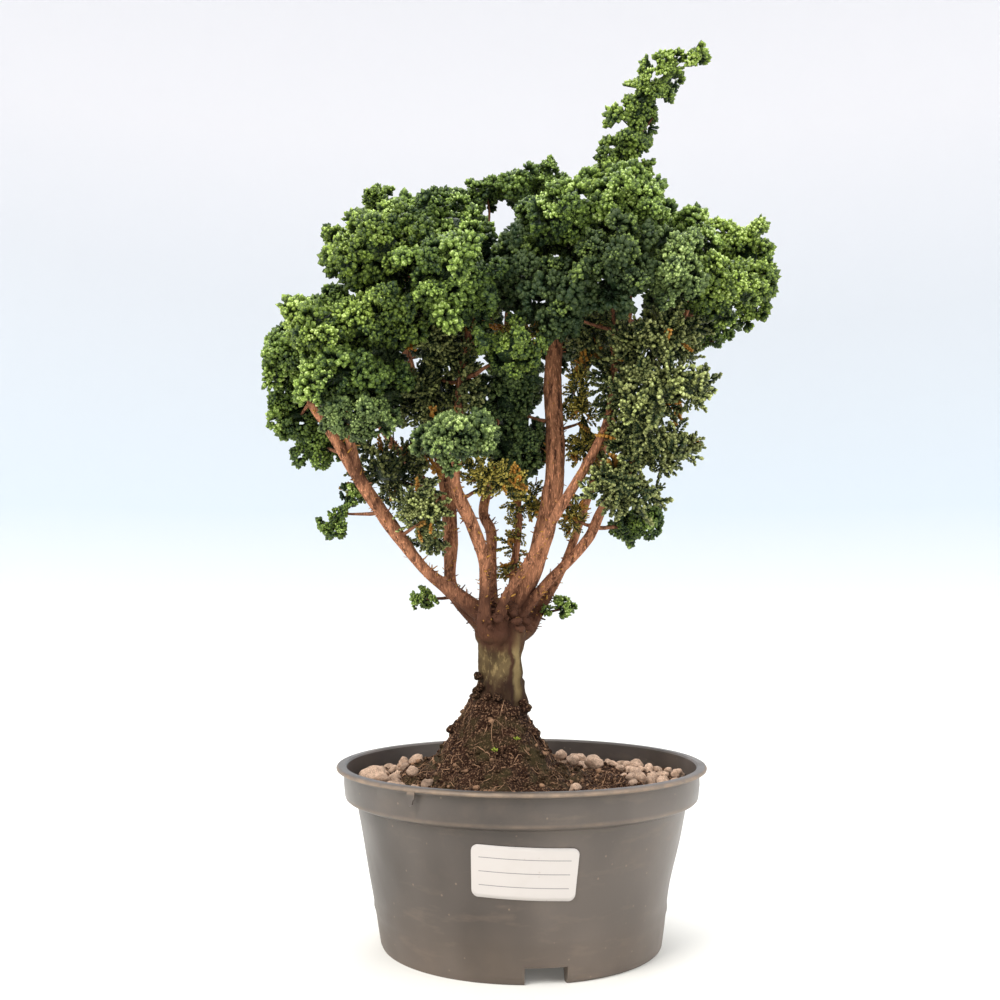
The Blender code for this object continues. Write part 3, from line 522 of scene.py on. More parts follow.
def shared_group(name, inputs, output):
    """Turns a function that fills a group with nodes into one that returns that group."""
    def wrap(fill):
        def group():
            if name in bpy.data.node_groups:
                return bpy.data.node_groups[name]
            tree = bpy.data.node_groups.new(name, "ShaderNodeTree")
            for direction, sockets in (("INPUT", inputs), ("OUTPUT", [output])):
                for socket in sockets:
                    kind = "NodeSocket" + SOCKET_KINDS.get(socket, "Float")
                    tree.interface.new_socket(socket, in_out=direction, socket_type=kind)
            recipe = Recipe(tree)
            given = tree.nodes.new("NodeGroupInput").outputs
            result = tree.nodes.new("NodeGroupOutput").inputs[output]
            recipe.feed(result, fill(recipe, *[Value(recipe, given[socket]) for socket in inputs]))
            return tree
        return group
    return wrap


@shared_group("Mottle", ("Vector", "Scale", "Dark", "Main", "Light", "Contrast"), "Color")
def mottle_group(recipe, where, scale, dark, main, light, contrast):
    """Uneven colour: coarse and fine noise mix three colours."""
    coarse = recipe.noise(where, scale, 4.0)
    fine = recipe.noise(where, scale * 4.3, 3.0)
    shade = coarse.spread(0.5 - contrast, contrast + 0.5)
    glint = fine.spread(0.52, 0.70)
    return recipe.mix(glint, recipe.mix(shade, dark, main), light)


@shared_group("Relief", ("Vector", "Scale", "Strength", "Distance"), "Normal")
def relief_group(recipe, where, scale, strength, distance):
    """Fine relief: two sizes of noise raise the surface."""
    coarse = recipe.noise(where, scale, 3.0)
    fine = recipe.noise(where, scale * 3.7, 2.0)
    return recipe.bump(coarse + fine * 0.5, strength, distance)


@shared_group("Dust", ("Vector", "Smears", "Specks"), "Mask")
def dust_group(recipe, where, smears, specks):
    """Dust and splashes: where soft smears and small specks lie."""
    smear = recipe.noise(where, 46.0, 6.0, 0.68).spread(0.50, 0.78) * smears
    speck = recipe.voronoi(where, 310.0)
    near = speck.spread(0.20, 0.08)
    chosen = recipe.add("ShaderNodeSeparateColor", {"Color": speck.beside("Color")})
    speck = near * chosen.spread(0.86, 0.88) * specks
    return recipe.math("MAXIMUM", smear, speck)


def new_material(name, numbers):
    """A material whose Principled shader has these numbers, its recipe and the shader's inputs."""
    material = bpy.data.materials.new(name)
    material.use_nodes = True
    shader = material.node_tree.nodes["Principled BSDF"].inputs
    for socket, value in numbers.items():
        shader[socket].default_value = value
    return material, Recipe(material.node_tree), shader


def scaled(tint, share):
    """A colour made darker or paler, each part at most 1."""
    return [min(1.0, share * part) for part in tint]


def blended(first, share, second, other_share):
    """Two colours added by their shares, each part at most 1."""
    return [min(1.0, share * a + other_share * b) for a, b in zip(first, second)]


# Heights on the pot between which the tide mark, and faint dust all over, fade out
TIDE_LEVELS = (0.030, 0.0)
DUST_LEVELS = (0.066, 0.010)
# Where the lip is rubbed, and where the collar's lower edge gets a painted highlight: heights, and
# the lip's width
LIP_LEVELS = (0.0815, 0.0825)
LIP_RUBBED = 0.0013
COLLAR_HIGHLIGHT_UPPER = (0.0716, 0.0702)
COLLAR_HIGHLIGHT_LOWER = (0.0690, 0.0698)


def plastic_material(settings):
    """Dark nursery-pot plastic: smudged, dusty, with a brown tide mark near the floor."""
    material, recipe, shader = new_material("Pot Plastic", {"Specular IOR Level": 0.45,
                                                            "Specular Tint": (1, 0.93, 0.88, 1)})
    where = recipe.place()
    dust = recipe.group(dust_group, where, 0.10, 0.45)
    tall = recipe.axes(where)[2]
    tide = tall.spread(*TIDE_LEVELS) * recipe.noise(where, 60.0, 5.0)
    dust_and_highlight_mask = recipe.math("MAXIMUM", dust, tide * 0.30)
    streaks = recipe.noise(recipe.place((1.0, 1.0, 3.6)), 38.0, 5.0, 0.6)
    dust_and_highlight_mask = dust_and_highlight_mask + streaks.spread(0.56, 0.80, 0.0, 0.22)
    dust_and_highlight_mask = dust_and_highlight_mask + tall.spread(*DUST_LEVELS, 0.0, 0.07)
    # The lip's outer edge is rubbed pale; the collar's lower edge gets a fainter painted highlight
    # in the same pale colour
    flat = recipe.place((1.0, 1.0, 0.0))
    radius = recipe.add("ShaderNodeVectorMath", {0: flat}, "Value", operation="LENGTH")
    lip = tall.spread(*LIP_LEVELS) * radius.spread(settings.lip_radius - LIP_RUBBED,
                                                   settings.lip_radius)
    rub_and_highlight = recipe.noise(where, 120.0, 4.0).spread(0.35, 0.65, 0.35, 0.95)
    # The collar's lower edge: a painted highlight, not wear
    collar = tall.spread(*COLLAR_HIGHLIGHT_UPPER) * tall.spread(*COLLAR_HIGHLIGHT_LOWER, 0.0, 0.4)
    dust_and_highlight_mask = recipe.math("MAXIMUM", dust_and_highlight_mask, recipe.math("MAXIMUM", lip, collar) * rub_and_highlight)
    tone = recipe.noise(recipe.place((1.0, 1.0, 0.4)), 19.0, 2.0).spread(0.35, 0.65)
    worn = recipe.mix(tone, scaled(settings.plastic, 0.70), scaled(settings.plastic, 1.60))
    recipe.feed(shader["Base Color"], recipe.mix(dust_and_highlight_mask, worn, settings.dust))
    smudge = recipe.noise(where, 34.0, 5.0).spread(0.3, 0.7, 0.30, 0.46)
    recipe.feed(shader["Roughness"], smudge + dust_and_highlight_mask * 0.3)
    recipe.feed(shader["Normal"], recipe.group(relief_group, where, 900.0, 0.12, 0.0002))
    return material


# The label's ruled lines: how many fit on half its height, their half width and half length
LINE_STEPS = 1.9
LINE_WIDTH = 0.028
LINE_LENGTH = 0.86


def paper_material(settings):
    """A white label ruled with three thin lines, on the piece's own across and up values."""
    material, recipe, shader = new_material("Label Paper", {"Roughness": 0.42})
    across, up = recipe.attribute("across"), recipe.attribute("up")
    off_line = abs(recipe.math("FRACT", up * LINE_STEPS + 0.5) - 0.5)
    line = recipe.math("LESS_THAN", off_line, LINE_WIDTH)
    printed = line * recipe.math("LESS_THAN", abs(across), LINE_LENGTH)
    dust = recipe.group(dust_group, recipe.place(), 0.12, 0.35)
    plain = recipe.mix(dust, settings.paper, settings.dust)
    recipe.feed(shader["Base Color"], recipe.mix(printed * 0.72, plain, settings.ink))
    return material


def soil_material(settings):
    """Damp soil with red-brown fibres and thin moss, by the piece's own values."""
    material, recipe, shader = new_material("Soil", {"Roughness": 0.9, "Specular IOR Level": 0.12})
    where = recipe.place()
    light = blended(settings.soil, 0.5, settings.fibre, 0.5)
    ground = recipe.group(mottle_group, where, 260.0, scaled(settings.soil, 0.45),
                          settings.soil, light, 0.16)
    patches = recipe.noise(where, 75.0, 4.0).spread(0.48, 0.62)
    mossy = recipe.attribute("moss") * (patches * 0.7)
    ground = recipe.mix(mossy, ground, settings.moss)
    ground = recipe.mix(recipe.attribute("fibre"), ground, settings.fibre)
    sprout = recipe.attribute("moss").spread(1.2, 1.8)
    recipe.feed(shader["Base Color"], recipe.mix(sprout, ground, settings.sprout))
    recipe.feed(shader["Normal"], recipe.group(relief_group, where, 700.0, 0.8, 0.0007))
    return material


def stone_material(settings):
    """Pale, pitted pumice with a tone for each stone, dusted with soil."""
    material, recipe, shader = new_material("Pumice", {"Roughness": 0.88,
                                                       "Specular IOR Level": 0.3})
    where = recipe.place()
    dark = scaled(settings.stone, 0.42)
    stone = recipe.group(mottle_group, where, 520.0, dark, settings.stone,
                         scaled(settings.stone, 1.35), 0.2)
    tone = recipe.attribute("tone").spread(0.0, 1.0, 0.0, 0.62)
    recipe.feed(shader["Base Color"], recipe.mix(tone, stone, scaled(dark, 0.5)))
    recipe.feed(shader["Normal"], recipe.group(relief_group, where, 900.0, 0.9, 0.0008))
    return material


# The pale ridge and the crack down the front of the trunk
RIDGE_X = -0.0020
CRACK_X = -0.0052
RIDGE_WIDTH = (0.0027, 0.0013)
CRACK_WIDTH = (0.0012, 0.0004)
FRONT_DEPTH = (-0.003, -0.006)
# Heights between which the olive trunk, the painted shade of the fork, the dark foot and the ridge
# fade out
OLIVE_LEVELS = (0.160, 0.148)
FORK_SHADE_LEVELS = (0.193, 0.170)
FOOT_LEVELS = (0.141, 0.133)
RIDGE_LEVELS = (0.114, 0.120)


def bark_material(settings):
    """Red-brown fibrous bark, olive low on the trunk, dark in grooves; painted shade at the fork
    and between limbs.
    """
    material, recipe, shader = new_material("Bark", {"Roughness": 0.86,
                                                     "Specular IOR Level": 0.18})
    grain = recipe.place((1.0, 1.0, 0.22))
    plain = recipe.place()
    bark = recipe.group(mottle_group, grain, 420.0, settings.groove, settings.bark,
                        scaled(settings.bark, 1.7), 0.15)
    trunk = recipe.group(mottle_group, recipe.place((1.0, 1.0, 0.5)), 150.0,
                         scaled(settings.trunk, 0.30), settings.trunk,
                         scaled(settings.trunk, 2.0), 0.16)
    x, y, tall = recipe.axes(plain)
    across = x + recipe.noise(plain, 110.0).spread(0.3, 0.7, -0.0012, 0.0012)
    front = y.spread(*FRONT_DEPTH)
    ridge_off, crack_off = abs(across - RIDGE_X), abs(across - CRACK_X)
    ridge = ridge_off.spread(*RIDGE_WIDTH, 0.0, 0.8) * front
    crack = crack_off.spread(*CRACK_WIDTH, 0.0, 0.9) * front
    trunk = recipe.mix(ridge, trunk, scaled(settings.trunk, 2.6))
    trunk = recipe.mix(crack, trunk, scaled(settings.groove, 0.5))
    uneven_tall = tall + recipe.noise(plain, 90.0) * 0.022
    # Below the fork the bark is painted darker towards the groove colour: painted shade where the
    # limbs part
    bark = recipe.mix(uneven_tall.spread(*FORK_SHADE_LEVELS, 0.0, 0.90), bark, settings.groove)
    mixed = recipe.mix(uneven_tall.spread(*OLIVE_LEVELS) * 0.9, bark, trunk)
    # A low ridge value turns the bark to the groove colour: painted shade in the crevices between
    # limbs and on the twigs inside the foliage, and a random tone on stubs and debris
    deep = 1.0 - recipe.attribute("ridge")
    mixed = recipe.mix(deep * 0.85, mixed, settings.groove)
    foot = uneven_tall.spread(*FOOT_LEVELS, 0.0, 0.85)
    foot = foot * (1.0 - ridge * tall.spread(*RIDGE_LEVELS))
    mixed = recipe.mix(foot, mixed, scaled(settings.groove, 0.45))
    recipe.feed(shader["Base Color"], recipe.mix(recipe.attribute("dead"), mixed, settings.dead))
    recipe.feed(shader["Normal"], recipe.group(relief_group, grain, 800.0, 0.75, 0.0006))
    return material


# The pale green of the painted highlights on the brightest tips
HIGHLIGHT_GREEN = (0.86, 0.89, 0.54)
LEAF_SCALES = 950.0


def leaf_material(name, tint, settings, inner):
    """Scale foliage: painted shade at the root of each lobe, its tint at the tip, paler where
    young, with painted highlights on the brightest tips.
    """
    material, recipe, shader = new_material(name, {"Roughness": 0.55, "Specular IOR Level": 0.3})
    where = recipe.place()
    tip, youth = recipe.attribute("tip"), recipe.attribute("youth")
    young = blended(tint, 0.8, settings.bright, 0.5)
    # The paler a tint is, the whiter the painted highlight on its brightest tips
    highlight_share = min(0.55, 1.3 * tint[1])
    pale = blended(young, 1 - highlight_share, HIGHLIGHT_GREEN, highlight_share)
    patch = recipe.noise(where, 170.0, 1.0).spread(0.3, 0.7, -0.16, 0.16)
    scales = recipe.voronoi(where, LEAF_SCALES)
    border = scales.spread(0.25, 0.62, 0.08, -0.24)
    rise = tip + patch + border
    # Low on each lobe the colour turns to the shade colour: painted shade
    body = recipe.mix(rise.spread(0.08, 0.45), settings.shade,
                      blended(tint, inner, settings.deep, 0.56))
    ends = recipe.mix(youth.spread(0.0, 0.5), blended(tint, 0.75, settings.deep, 0.25), tint)
    ends = recipe.mix(youth.spread(0.5, 1.0), ends, young)
    body = recipe.mix(rise.spread(0.42, 0.85), body, ends)
    # The brightest tips turn to the pale green: a painted highlight
    body = recipe.mix(rise.spread(0.63, 0.93, 0.0, 0.95), body, pale)
    recipe.feed(shader["Base Color"], recipe.mix(recipe.attribute("dead"), body, settings.dead))
    recipe.feed(shader["Normal"], recipe.bump(scales, 0.8, 0.0005, invert=True))
    return material


# Pot and label

POT_COLUMNS = 240
# The notches in the foot ring: the first one's angle, the step between two, the edge's width
FIRST_NOTCH = math.radians(-82)
NOTCH_STEP = math.tau / 3
NOTCH_EDGE = 0.0008
RING_INSIDE = 0.0610
# Slow waves of the wall: their depth, their size, and the height that counts as one radius.
# The profile's fixed radii follow them between the two heights
WAVY = (0.02, 0.080)
WAVE_DEPTH = 0.00055
WAVE_SIZE = 0.75
WAVE_RISE = 0.05
# The dent's angle, height and depth, and how far it spreads in angle and height
DENT = (math.radians(-9), 0.029, 0.0019)
DENT_SPREAD = (0.26, 0.017)
# The bead near the floor: its height, half width and depth
BEAD = (0.0185, 0.0011, 0.0004)


def notch_lift(settings, angle):
    """How high the foot ring is cut at each angle: full height inside a notch, else nothing."""
    half = math.asin(settings.notch_width / 2 / settings.base_radius)
    off = (angle - FIRST_NOTCH + NOTCH_STEP / 2) % NOTCH_STEP - NOTCH_STEP / 2
    return np.where(np.abs(off) < half, settings.notch_height, 0.0)


def uneven(angle, height):
    """How far the pot's wall stands out of true: slow waves, and one dent on the right."""
    waves = WAVE_DEPTH * layered_noise(rays(angle, height / WAVE_RISE), WAVE_SIZE, 2, 5)
    off = (angle - DENT[0] + math.pi) % math.tau - math.pi
    dent = np.exp(-(off / DENT_SPREAD[0]) ** 2 - ((height - DENT[1]) / DENT_SPREAD[1]) ** 2)
    return waves - DENT[2] * dent


def body_radius(settings, angle, height):
    """The outer radius of the pot's body: a straight taper, a faint bead, and uneven waves."""
    share = height / settings.shoulder_height
    taper = settings.base_radius + (settings.shoulder_radius - settings.base_radius) * share
    middle, width, depth = BEAD
    bead = depth * np.exp(-((height - middle) / width) ** 2)
    return taper + bead + uneven(angle, height)


def pot_profile(settings):
    """Radii and heights from the floor's underside, round the outside and over the lip, inside.

    Where the radius is None, the row lies on the tapered body.
    """
    top, lip, wall = settings.height, settings.lip_radius, settings.wall
    under = top - settings.lip_thickness
    collar, low = settings.collar_radius, settings.collar_bottom
    shoulder, step = settings.shoulder_radius, settings.shoulder_height
    base = settings.base_radius
    body = [(None, height) for height in np.linspace(0.0012, step, 28)]
    return [
        (0.0008, 0.0085), (0.030, 0.0085), (0.0600, 0.0085), (0.0628, 0.0080),
        (base - 0.0038, 0.0006), (base - 0.0034, 0.0), (base - 0.0006, 0.0), *body,
        (shoulder + 0.0010, step + 0.0004), (shoulder + 0.0044, low - 0.0008),
        (shoulder + 0.0052, low - 0.0001), (collar - 0.0010, low + 0.0010),
        (collar - 0.0004, 0.5 * (low + under)), (collar - 0.0002, under - 0.0012),
        (collar + 0.0008, under - 0.0002), (lip - 0.0009, under),
        (lip - 0.0002, under + 0.2 * settings.lip_thickness),
        (lip, under + 0.5 * settings.lip_thickness), (lip - 0.0004, top - 0.0004),
        (lip - 0.0012, top), (collar - wall + 0.0008, top), (collar - wall, top - 0.0008),
        (collar - wall - 0.0005, low + 0.0020), (shoulder - wall + 0.0006, step + 0.0014),
        (shoulder - wall, step - 0.0010), (base - wall + 0.0006, 0.0130),
        (base - wall - 0.0012, 0.0108), (0.0600, 0.0105), (0.0008, 0.0105),
    ]


def build_pot(settings):
    """The pot: radius and height along the profile, carried round all angles.

    The point at angle a and profile row k is (r cos a, r sin a, h). Inside a notch every row
    of the foot ring is lifted to the notch's height.
    """
    half = math.asin(settings.notch_width / 2 / settings.base_radius)
    edges = [FIRST_NOTCH + number * NOTCH_STEP + side * half + nudge
             for number in range(3) for side in (-1, 1) for nudge in (-NOTCH_EDGE, NOTCH_EDGE)]
    angle = np.sort(np.concatenate([around(POT_COLUMNS), np.mod(edges, math.tau)]))
    profile = pot_profile(settings)
    height = np.array([row[1] for row in profile])[:, None] + 0 * angle
    radius = np.empty_like(height)
    for row, (fixed, level) in enumerate(profile):
        if fixed is None:
            radius[row] = body_radius(settings, angle, height[row])
        else:
            radius[row] = fixed + uneven(angle, height[row]) * (WAVY[0] < level < WAVY[1])
    ring = (height < settings.notch_height) & (radius > RING_INSIDE)
    height = np.where(ring, np.maximum(height, notch_lift(settings, angle)), height)
    shape = Shape()
    shape.add_rings(np.stack([radius * np.cos(angle), radius * np.sin(angle), height], axis=-1),
                    [(0, 0, height[0, 0]), (0, 0, height[-1, 0])])
    add_tab(shape, settings)
    pot = shape.piece("pot_shell", plastic_material(settings), "pot")
    cut_drains(pot)
    pot.data.set_sharp_from_angle(angle=math.radians(38))
    return pot


# The tab: its angle, half width, distances inside the lip's edge, and outline in half widths
# and metres
TAB_ANGLE = math.radians(237.0)
TAB_WIDTH = 0.0019
TAB_DEPTHS = (0.0012, 0.0004)
TAB_OUTLINE = ((-1.0, 0.0008), (1.0, 0.0008), (1.1, -0.0024), (0.6, -0.0034), (0.45, -0.0052),
               (-0.35, -0.0060), (-0.6, -0.0036), (-1.1, -0.0018))


def add_tab(shape, settings):
    """The torn bit of moulding flash that hangs from the lip at the front left."""
    under = settings.height - settings.lip_thickness
    outline = np.array(TAB_OUTLINE)
    ray = np.array([math.cos(TAB_ANGLE), math.sin(TAB_ANGLE)])
    side = np.array([-ray[1], ray[0]])
    flat = [ray * (settings.lip_radius - depth) + outline[:, :1] * TAB_WIDTH * side
            for depth in TAB_DEPTHS]
    points = [np.column_stack([ring, under + outline[:, 1]]) for ring in flat]
    order = np.arange(len(outline))[None]
    shape.add(np.concatenate(points), [grid_faces(2, len(outline)), order[:, ::-1],
                                       order + len(outline)])


DRAIN_COUNT = 4
DRAIN_RING = 0.045
DRAIN_RADIUS = 0.0045
DRAIN_LEVELS = (0.004, 0.010, 0.016)


def cut_drains(pot):
    """Four drain holes through the floor, cut by one Boolean and applied."""
    shape = Shape()
    for number in range(DRAIN_COUNT):
        angle = math.tau * (number + 0.5) / DRAIN_COUNT
        middle = (DRAIN_RING * math.cos(angle), DRAIN_RING * math.sin(angle))
        shape.add_tube([(*middle, height) for height in DRAIN_LEVELS], [DRAIN_RADIUS] * 3, 28)
    cutter = shape.object("drain_cutter", pot.data.materials[0])
    modifier = pot.modifiers.new("Drains", "BOOLEAN")
    modifier.operation = "DIFFERENCE"
    modifier.object = cutter
    bpy.context.view_layer.update()
    evaluated = pot.evaluated_get(bpy.context.evaluated_depsgraph_get())
    mesh = bpy.data.meshes.new_from_object(evaluated)
    pot.modifiers.clear()
    pot.data = mesh
    bpy.data.objects.remove(cutter)


LABEL_COLUMNS = 56
LABEL_ROWS = 14
LABEL_HALF = (0.02285, 0.0115)
LABEL_CORNER = 0.0030
LABEL_MIDDLE = 0.0491
LABEL_TILT = math.radians(-2.7)
# How far the label's two sides stand off the pot, and how much further its ends curl
LABEL_OUTSIDE = 0.00042
LABEL_INSIDE = 0.00012
LABEL_CURL = 0.0004
CURL_START = 0.7


def label_side(settings, lift, share, curl):
    """One side of the label: its points, and the across and up values that go with them."""
    half_width, half_height = LABEL_HALF
    across = -half_width * np.cos(np.linspace(0, math.pi, LABEL_COLUMNS))
    past = np.maximum(0, np.abs(across) - (half_width - LABEL_CORNER))
    drop = LABEL_CORNER - np.sqrt(LABEL_CORNER ** 2 - past ** 2)
    up = share[:, None] * (half_height - drop)
    side = across * math.cos(LABEL_TILT) - up * math.sin(LABEL_TILT)
    height = LABEL_MIDDLE + across * math.sin(LABEL_TILT) + up * math.cos(LABEL_TILT)
    angle = -math.pi / 2 + side / body_radius(settings, -math.pi / 2, LABEL_MIDDLE)
    bend = curl * smooth_step(CURL_START, 1.0, np.abs(across) / half_width)
    radius = body_radius(settings, angle, height) + lift + bend
    points = np.stack([radius * np.cos(angle), radius * np.sin(angle), height], axis=-1)
    return points, np.broadcast_to(across / half_width, up.shape), up / half_height


def build_label(settings):
    """The label: across and up on the pot's own curved wall, with rounded corners.

    The point at (across, up) lies at the angle across / radius from the front, at the height
    up, turned by the label's tilt. Near its ends the label is less tall by the corner's circle.
    """
    share = np.linspace(-1, 1, LABEL_ROWS)
    outside = label_side(settings, LABEL_OUTSIDE, share, LABEL_CURL)
    inside = label_side(settings, LABEL_INSIDE, share[::-1], 0.0)
    points, across, up = (np.concatenate(pair) for pair in zip(outside, inside))
    ends = np.arange(2 * LABEL_ROWS)[None]
    last = (LABEL_COLUMNS - 1) * 2 * LABEL_ROWS
    shape = Shape()
    shape.add(points.transpose(1, 0, 2),
              [grid_faces(LABEL_COLUMNS, 2 * LABEL_ROWS)[:, ::-1], ends, last + ends[:, ::-1]],
              across=across.T.ravel(), up=up.T.ravel())
    return shape.piece("label_sticker", paper_material(settings), "label")


# Soil and gravel

# The mound's profile: distances from the trunk and heights, and its middle
MOUND = ((0.0, 0.0115, 0.0155, 0.0220, 0.0310, 0.0480, 0.070),
         (0.1185, 0.1170, 0.1085, 0.0965, 0.0860, 0.0772, SOIL_LEVEL))
MOUND_MIDDLE = TRUNK_AXIS + (-0.0030, 0.0)
SOIL_ROWS = 74
SOIL_COLUMNS = 210
SOIL_WALL = 0.0838
# The trunk's hole: its radius and its floor's height, and how far the circles round it reach
HOLE_RADIUS = 0.0118
HOLE_LEVEL = 0.0800
SOIL_REACH = 0.070
POT_FLOOR = 0.0110
# Radii and heights of the soil's rings under its surface
SOIL_BELOW = ((SOIL_WALL, 0.0715), (0.0772, 0.0668), (0.0665, POT_FLOOR))
# Moss is thickest at this shift from the trunk, and fades between these distances
MOSS_SHIFT = (-0.004, -0.014)
MOSS_FADE = (0.075, 0.020)


def soil_height(x, y):
    """The soil's height: the mound's profile by distance from the trunk, with rough crumbs."""
    distance = lengths(np.stack([x, y], axis=-1) - MOUND_MIDDLE)
    flat = np.stack([x, y, 0 * x], axis=-1)
    return (np.interp(distance, *MOUND) + 0.0021 * layered_noise(flat, 0.007, 4, 31)
            + 0.0016 * noise(flat, 0.022, 37))


def build_soil(settings):
    """The soil: a polar grid, with loose crumbs, fibres and a few clods.

    The point at angle a and share t lies between a circle round the trunk and the pot's
    wall, which blend as t rises. Its height is the mound's profile plus rough noise.
    """
    draw = np.random.default_rng(31)
    ray = rays(around(SOIL_COLUMNS))
    share = np.linspace(0, 1, SOIL_ROWS)[:, None, None] ** 0.9
    near = TRUNK_AXIS + ray * (HOLE_RADIUS + SOIL_REACH * share)
    blend = smooth_step(0.35, 1.0, share)
    flat = near * (1 - blend) + ray * SOIL_WALL * blend
    height = soil_height(flat[..., 0], flat[..., 1])
    top = np.concatenate([flat, height[..., None]], axis=-1)
    # The first ring lies down the trunk's hole, and the last ones below the surface
    hole = np.concatenate([flat[:1], np.full((1, SOIL_COLUMNS, 1), HOLE_LEVEL)], axis=-1)
    below = [np.column_stack([ray * radius, np.full(SOIL_COLUMNS, level)])
             for radius, level in SOIL_BELOW]
    rings = np.concatenate([hole, top, np.stack(below)])
    ends = [(*TRUNK_AXIS, HOLE_LEVEL), (0, 0, POT_FLOOR)]
    places = np.concatenate([rings.reshape(-1, 3), ends])[:, :2]
    green = smooth_step(*MOSS_FADE, lengths(places - TRUNK_AXIS - MOSS_SHIFT))
    shape = Shape()
    shape.add_rings(rings, ends, inward=True, moss=green, fibre=0.0)
    add_crumbs(shape, settings, draw)
    add_fibres(shape, settings, draw)
    add_sprouts(shape, draw)
    return shape.piece("soil_bed", soil_material(settings), "soil")


def scatter(draw, count, nearest, furthest):
    """Random places round the trunk, all inside the pot's wall."""
    distance = np.sqrt(draw.uniform(nearest ** 2, furthest ** 2, 2 * count))
    angle = draw.uniform(0, math.tau, 2 * count)
    places = TRUNK_AXIS + rays(angle) * distance[:, None]
    return places[lengths(places) < SOIL_WALL - 0.003][:count]


# Clods: their places and radii
CLODS = ((-31, -5, 102, 5.2), (-28, -3, 97, 5.6), (-23, -3, 113, 3.4), (-33, -1, 91, 3.6),
         (-21, -6, 121, 1.9), (2, -5, 112, 2.8), (-4, -13, 110, 3.0), (7, -6, 100, 3.0),
         (-16, -13, 112, 3.2), (-12, -20, 98, 2.8), (-2, 13, 107, 4.0), (-12, -14, 118, 2.0),
         (-21, -5, 127, 1.5), (-20, -8, 123, 1.7), (-21, -5, 117, 2.3), (-17, -11, 117, 1.6),
         (-19, -9, 113, 2.2), (-7, -14, 106, 2.0))
CLOD_ROUGHNESS = 0.0011
CRUMB_FADE = (0.05, 0.02)
RED_CRUMBS = 0.20


def add_crumbs(shape, settings, draw):
    """Loose crumbs all over the mound, and a few clods of roots and soil against the trunk."""
    flat = scatter(draw, settings.crumb_count, 0.013, 0.080)
    sizes = settings.crumb_size * draw.uniform(0.5, 2.0, len(flat)) ** 1.5
    places = np.column_stack([flat, soil_height(flat[:, 0], flat[:, 1]) + 0.3 * sizes])
    points, faces = lumps(draw, places, sizes, 0.9, 0.45, 1)
    red = (draw.random(len(flat)) < RED_CRUMBS) * draw.uniform(0.15, 0.7, len(flat))
    green = smooth_step(*CRUMB_FADE, lengths(flat - TRUNK_AXIS))
    shape.add_copies(faces, points, moss=green[:, None], fibre=red[:, None])
    clods = np.array(CLODS) * MM
    points, faces = lumps(draw, clods[:, :3], clods[:, 3], 0.9, 0.5, 3)
    rough = layered_noise(points, 0.0035, 3, 71)[..., None]
    points = points + CLOD_ROUGHNESS * rough * unit(points - clods[:, None, :3])
    shape.add_copies(faces, points, moss=0.35, fibre=0.0)


def add_fibres(shape, settings, draw):
    """Thin strands of bark that lie on the mound and curl a little off it."""
    share = np.linspace(-0.5, 0.5, 6)
    for place in scatter(draw, settings.fibre_count, 0.014, 0.078):
        heading = draw.uniform(0, math.tau)
        bend = draw.uniform(-1.4, 1.4)
        reach = draw.uniform(0.0025, 0.007)
        turn = heading + bend * share
        x = place[0] + reach * share * np.cos(turn)
        y = place[1] + reach * share * np.sin(turn)
        z = soil_height(x, y) + 0.0003 + 0.0012 * (share + 0.5) * draw.uniform(0, 1)
        thin = draw.uniform(0.00010, 0.00024)
        shape.add_tube(np.column_stack([x, y, z]), thin * (1.1 - np.abs(2 * share)), 3,
                       moss=0.0, fibre=draw.uniform(0.3, 1.0))


SPROUTS = ((-2.2, -22.0), (-12.6, -27.0))
SPROUT_REACH = 0.0030
SPROUT_ROOT = 0.0004
# A sprout's beads, how far they start along its stem, their spread, width and flatness
SPROUT = (8, 0.30, 1.25, 0.30, 1.0)


def add_sprouts(shape, draw):
    """Two tiny green sprouts on the front of the mound, marked by moss values above one."""
    for x, y in np.array(SPROUTS) * MM:
        points, faces, _ = floret_shape(draw, *SPROUT)
        upright = points[:, [1, 2, 0]]
        shape.add((x, y, soil_height(x, y) - SPROUT_ROOT) + upright * SPROUT_REACH, [faces],
                  moss=2.0, fibre=0.0)


# Patches of gravel: the first and last angle, the inner radius and the seed
GRAVEL_PATCHES = {
    "gravel_left": (math.radians(141), math.radians(217), 0.0560, 41),
    "gravel_right": (math.radians(-20), math.radians(70), 0.0520, 42),
}
# Single large stones: their places and radii
LARGE_STONES = {
    "gravel_left": ((-71, -12, 79.5, 5.2), (-54, 38, 80, 3.8), (-60, 28, 79.5, 3.6)),
    "gravel_right": ((39, 31, 80, 4.6), (28, 38, 80, 3.2), (22, 58, 80, 3.4), (24, -40, 78.5, 2.8)),
}
GRAVEL_OUTSIDE = 0.0785
ROW_STEP = 0.0060
ROW_SHIFT = 0.0062
STONE_STEP = 0.0066


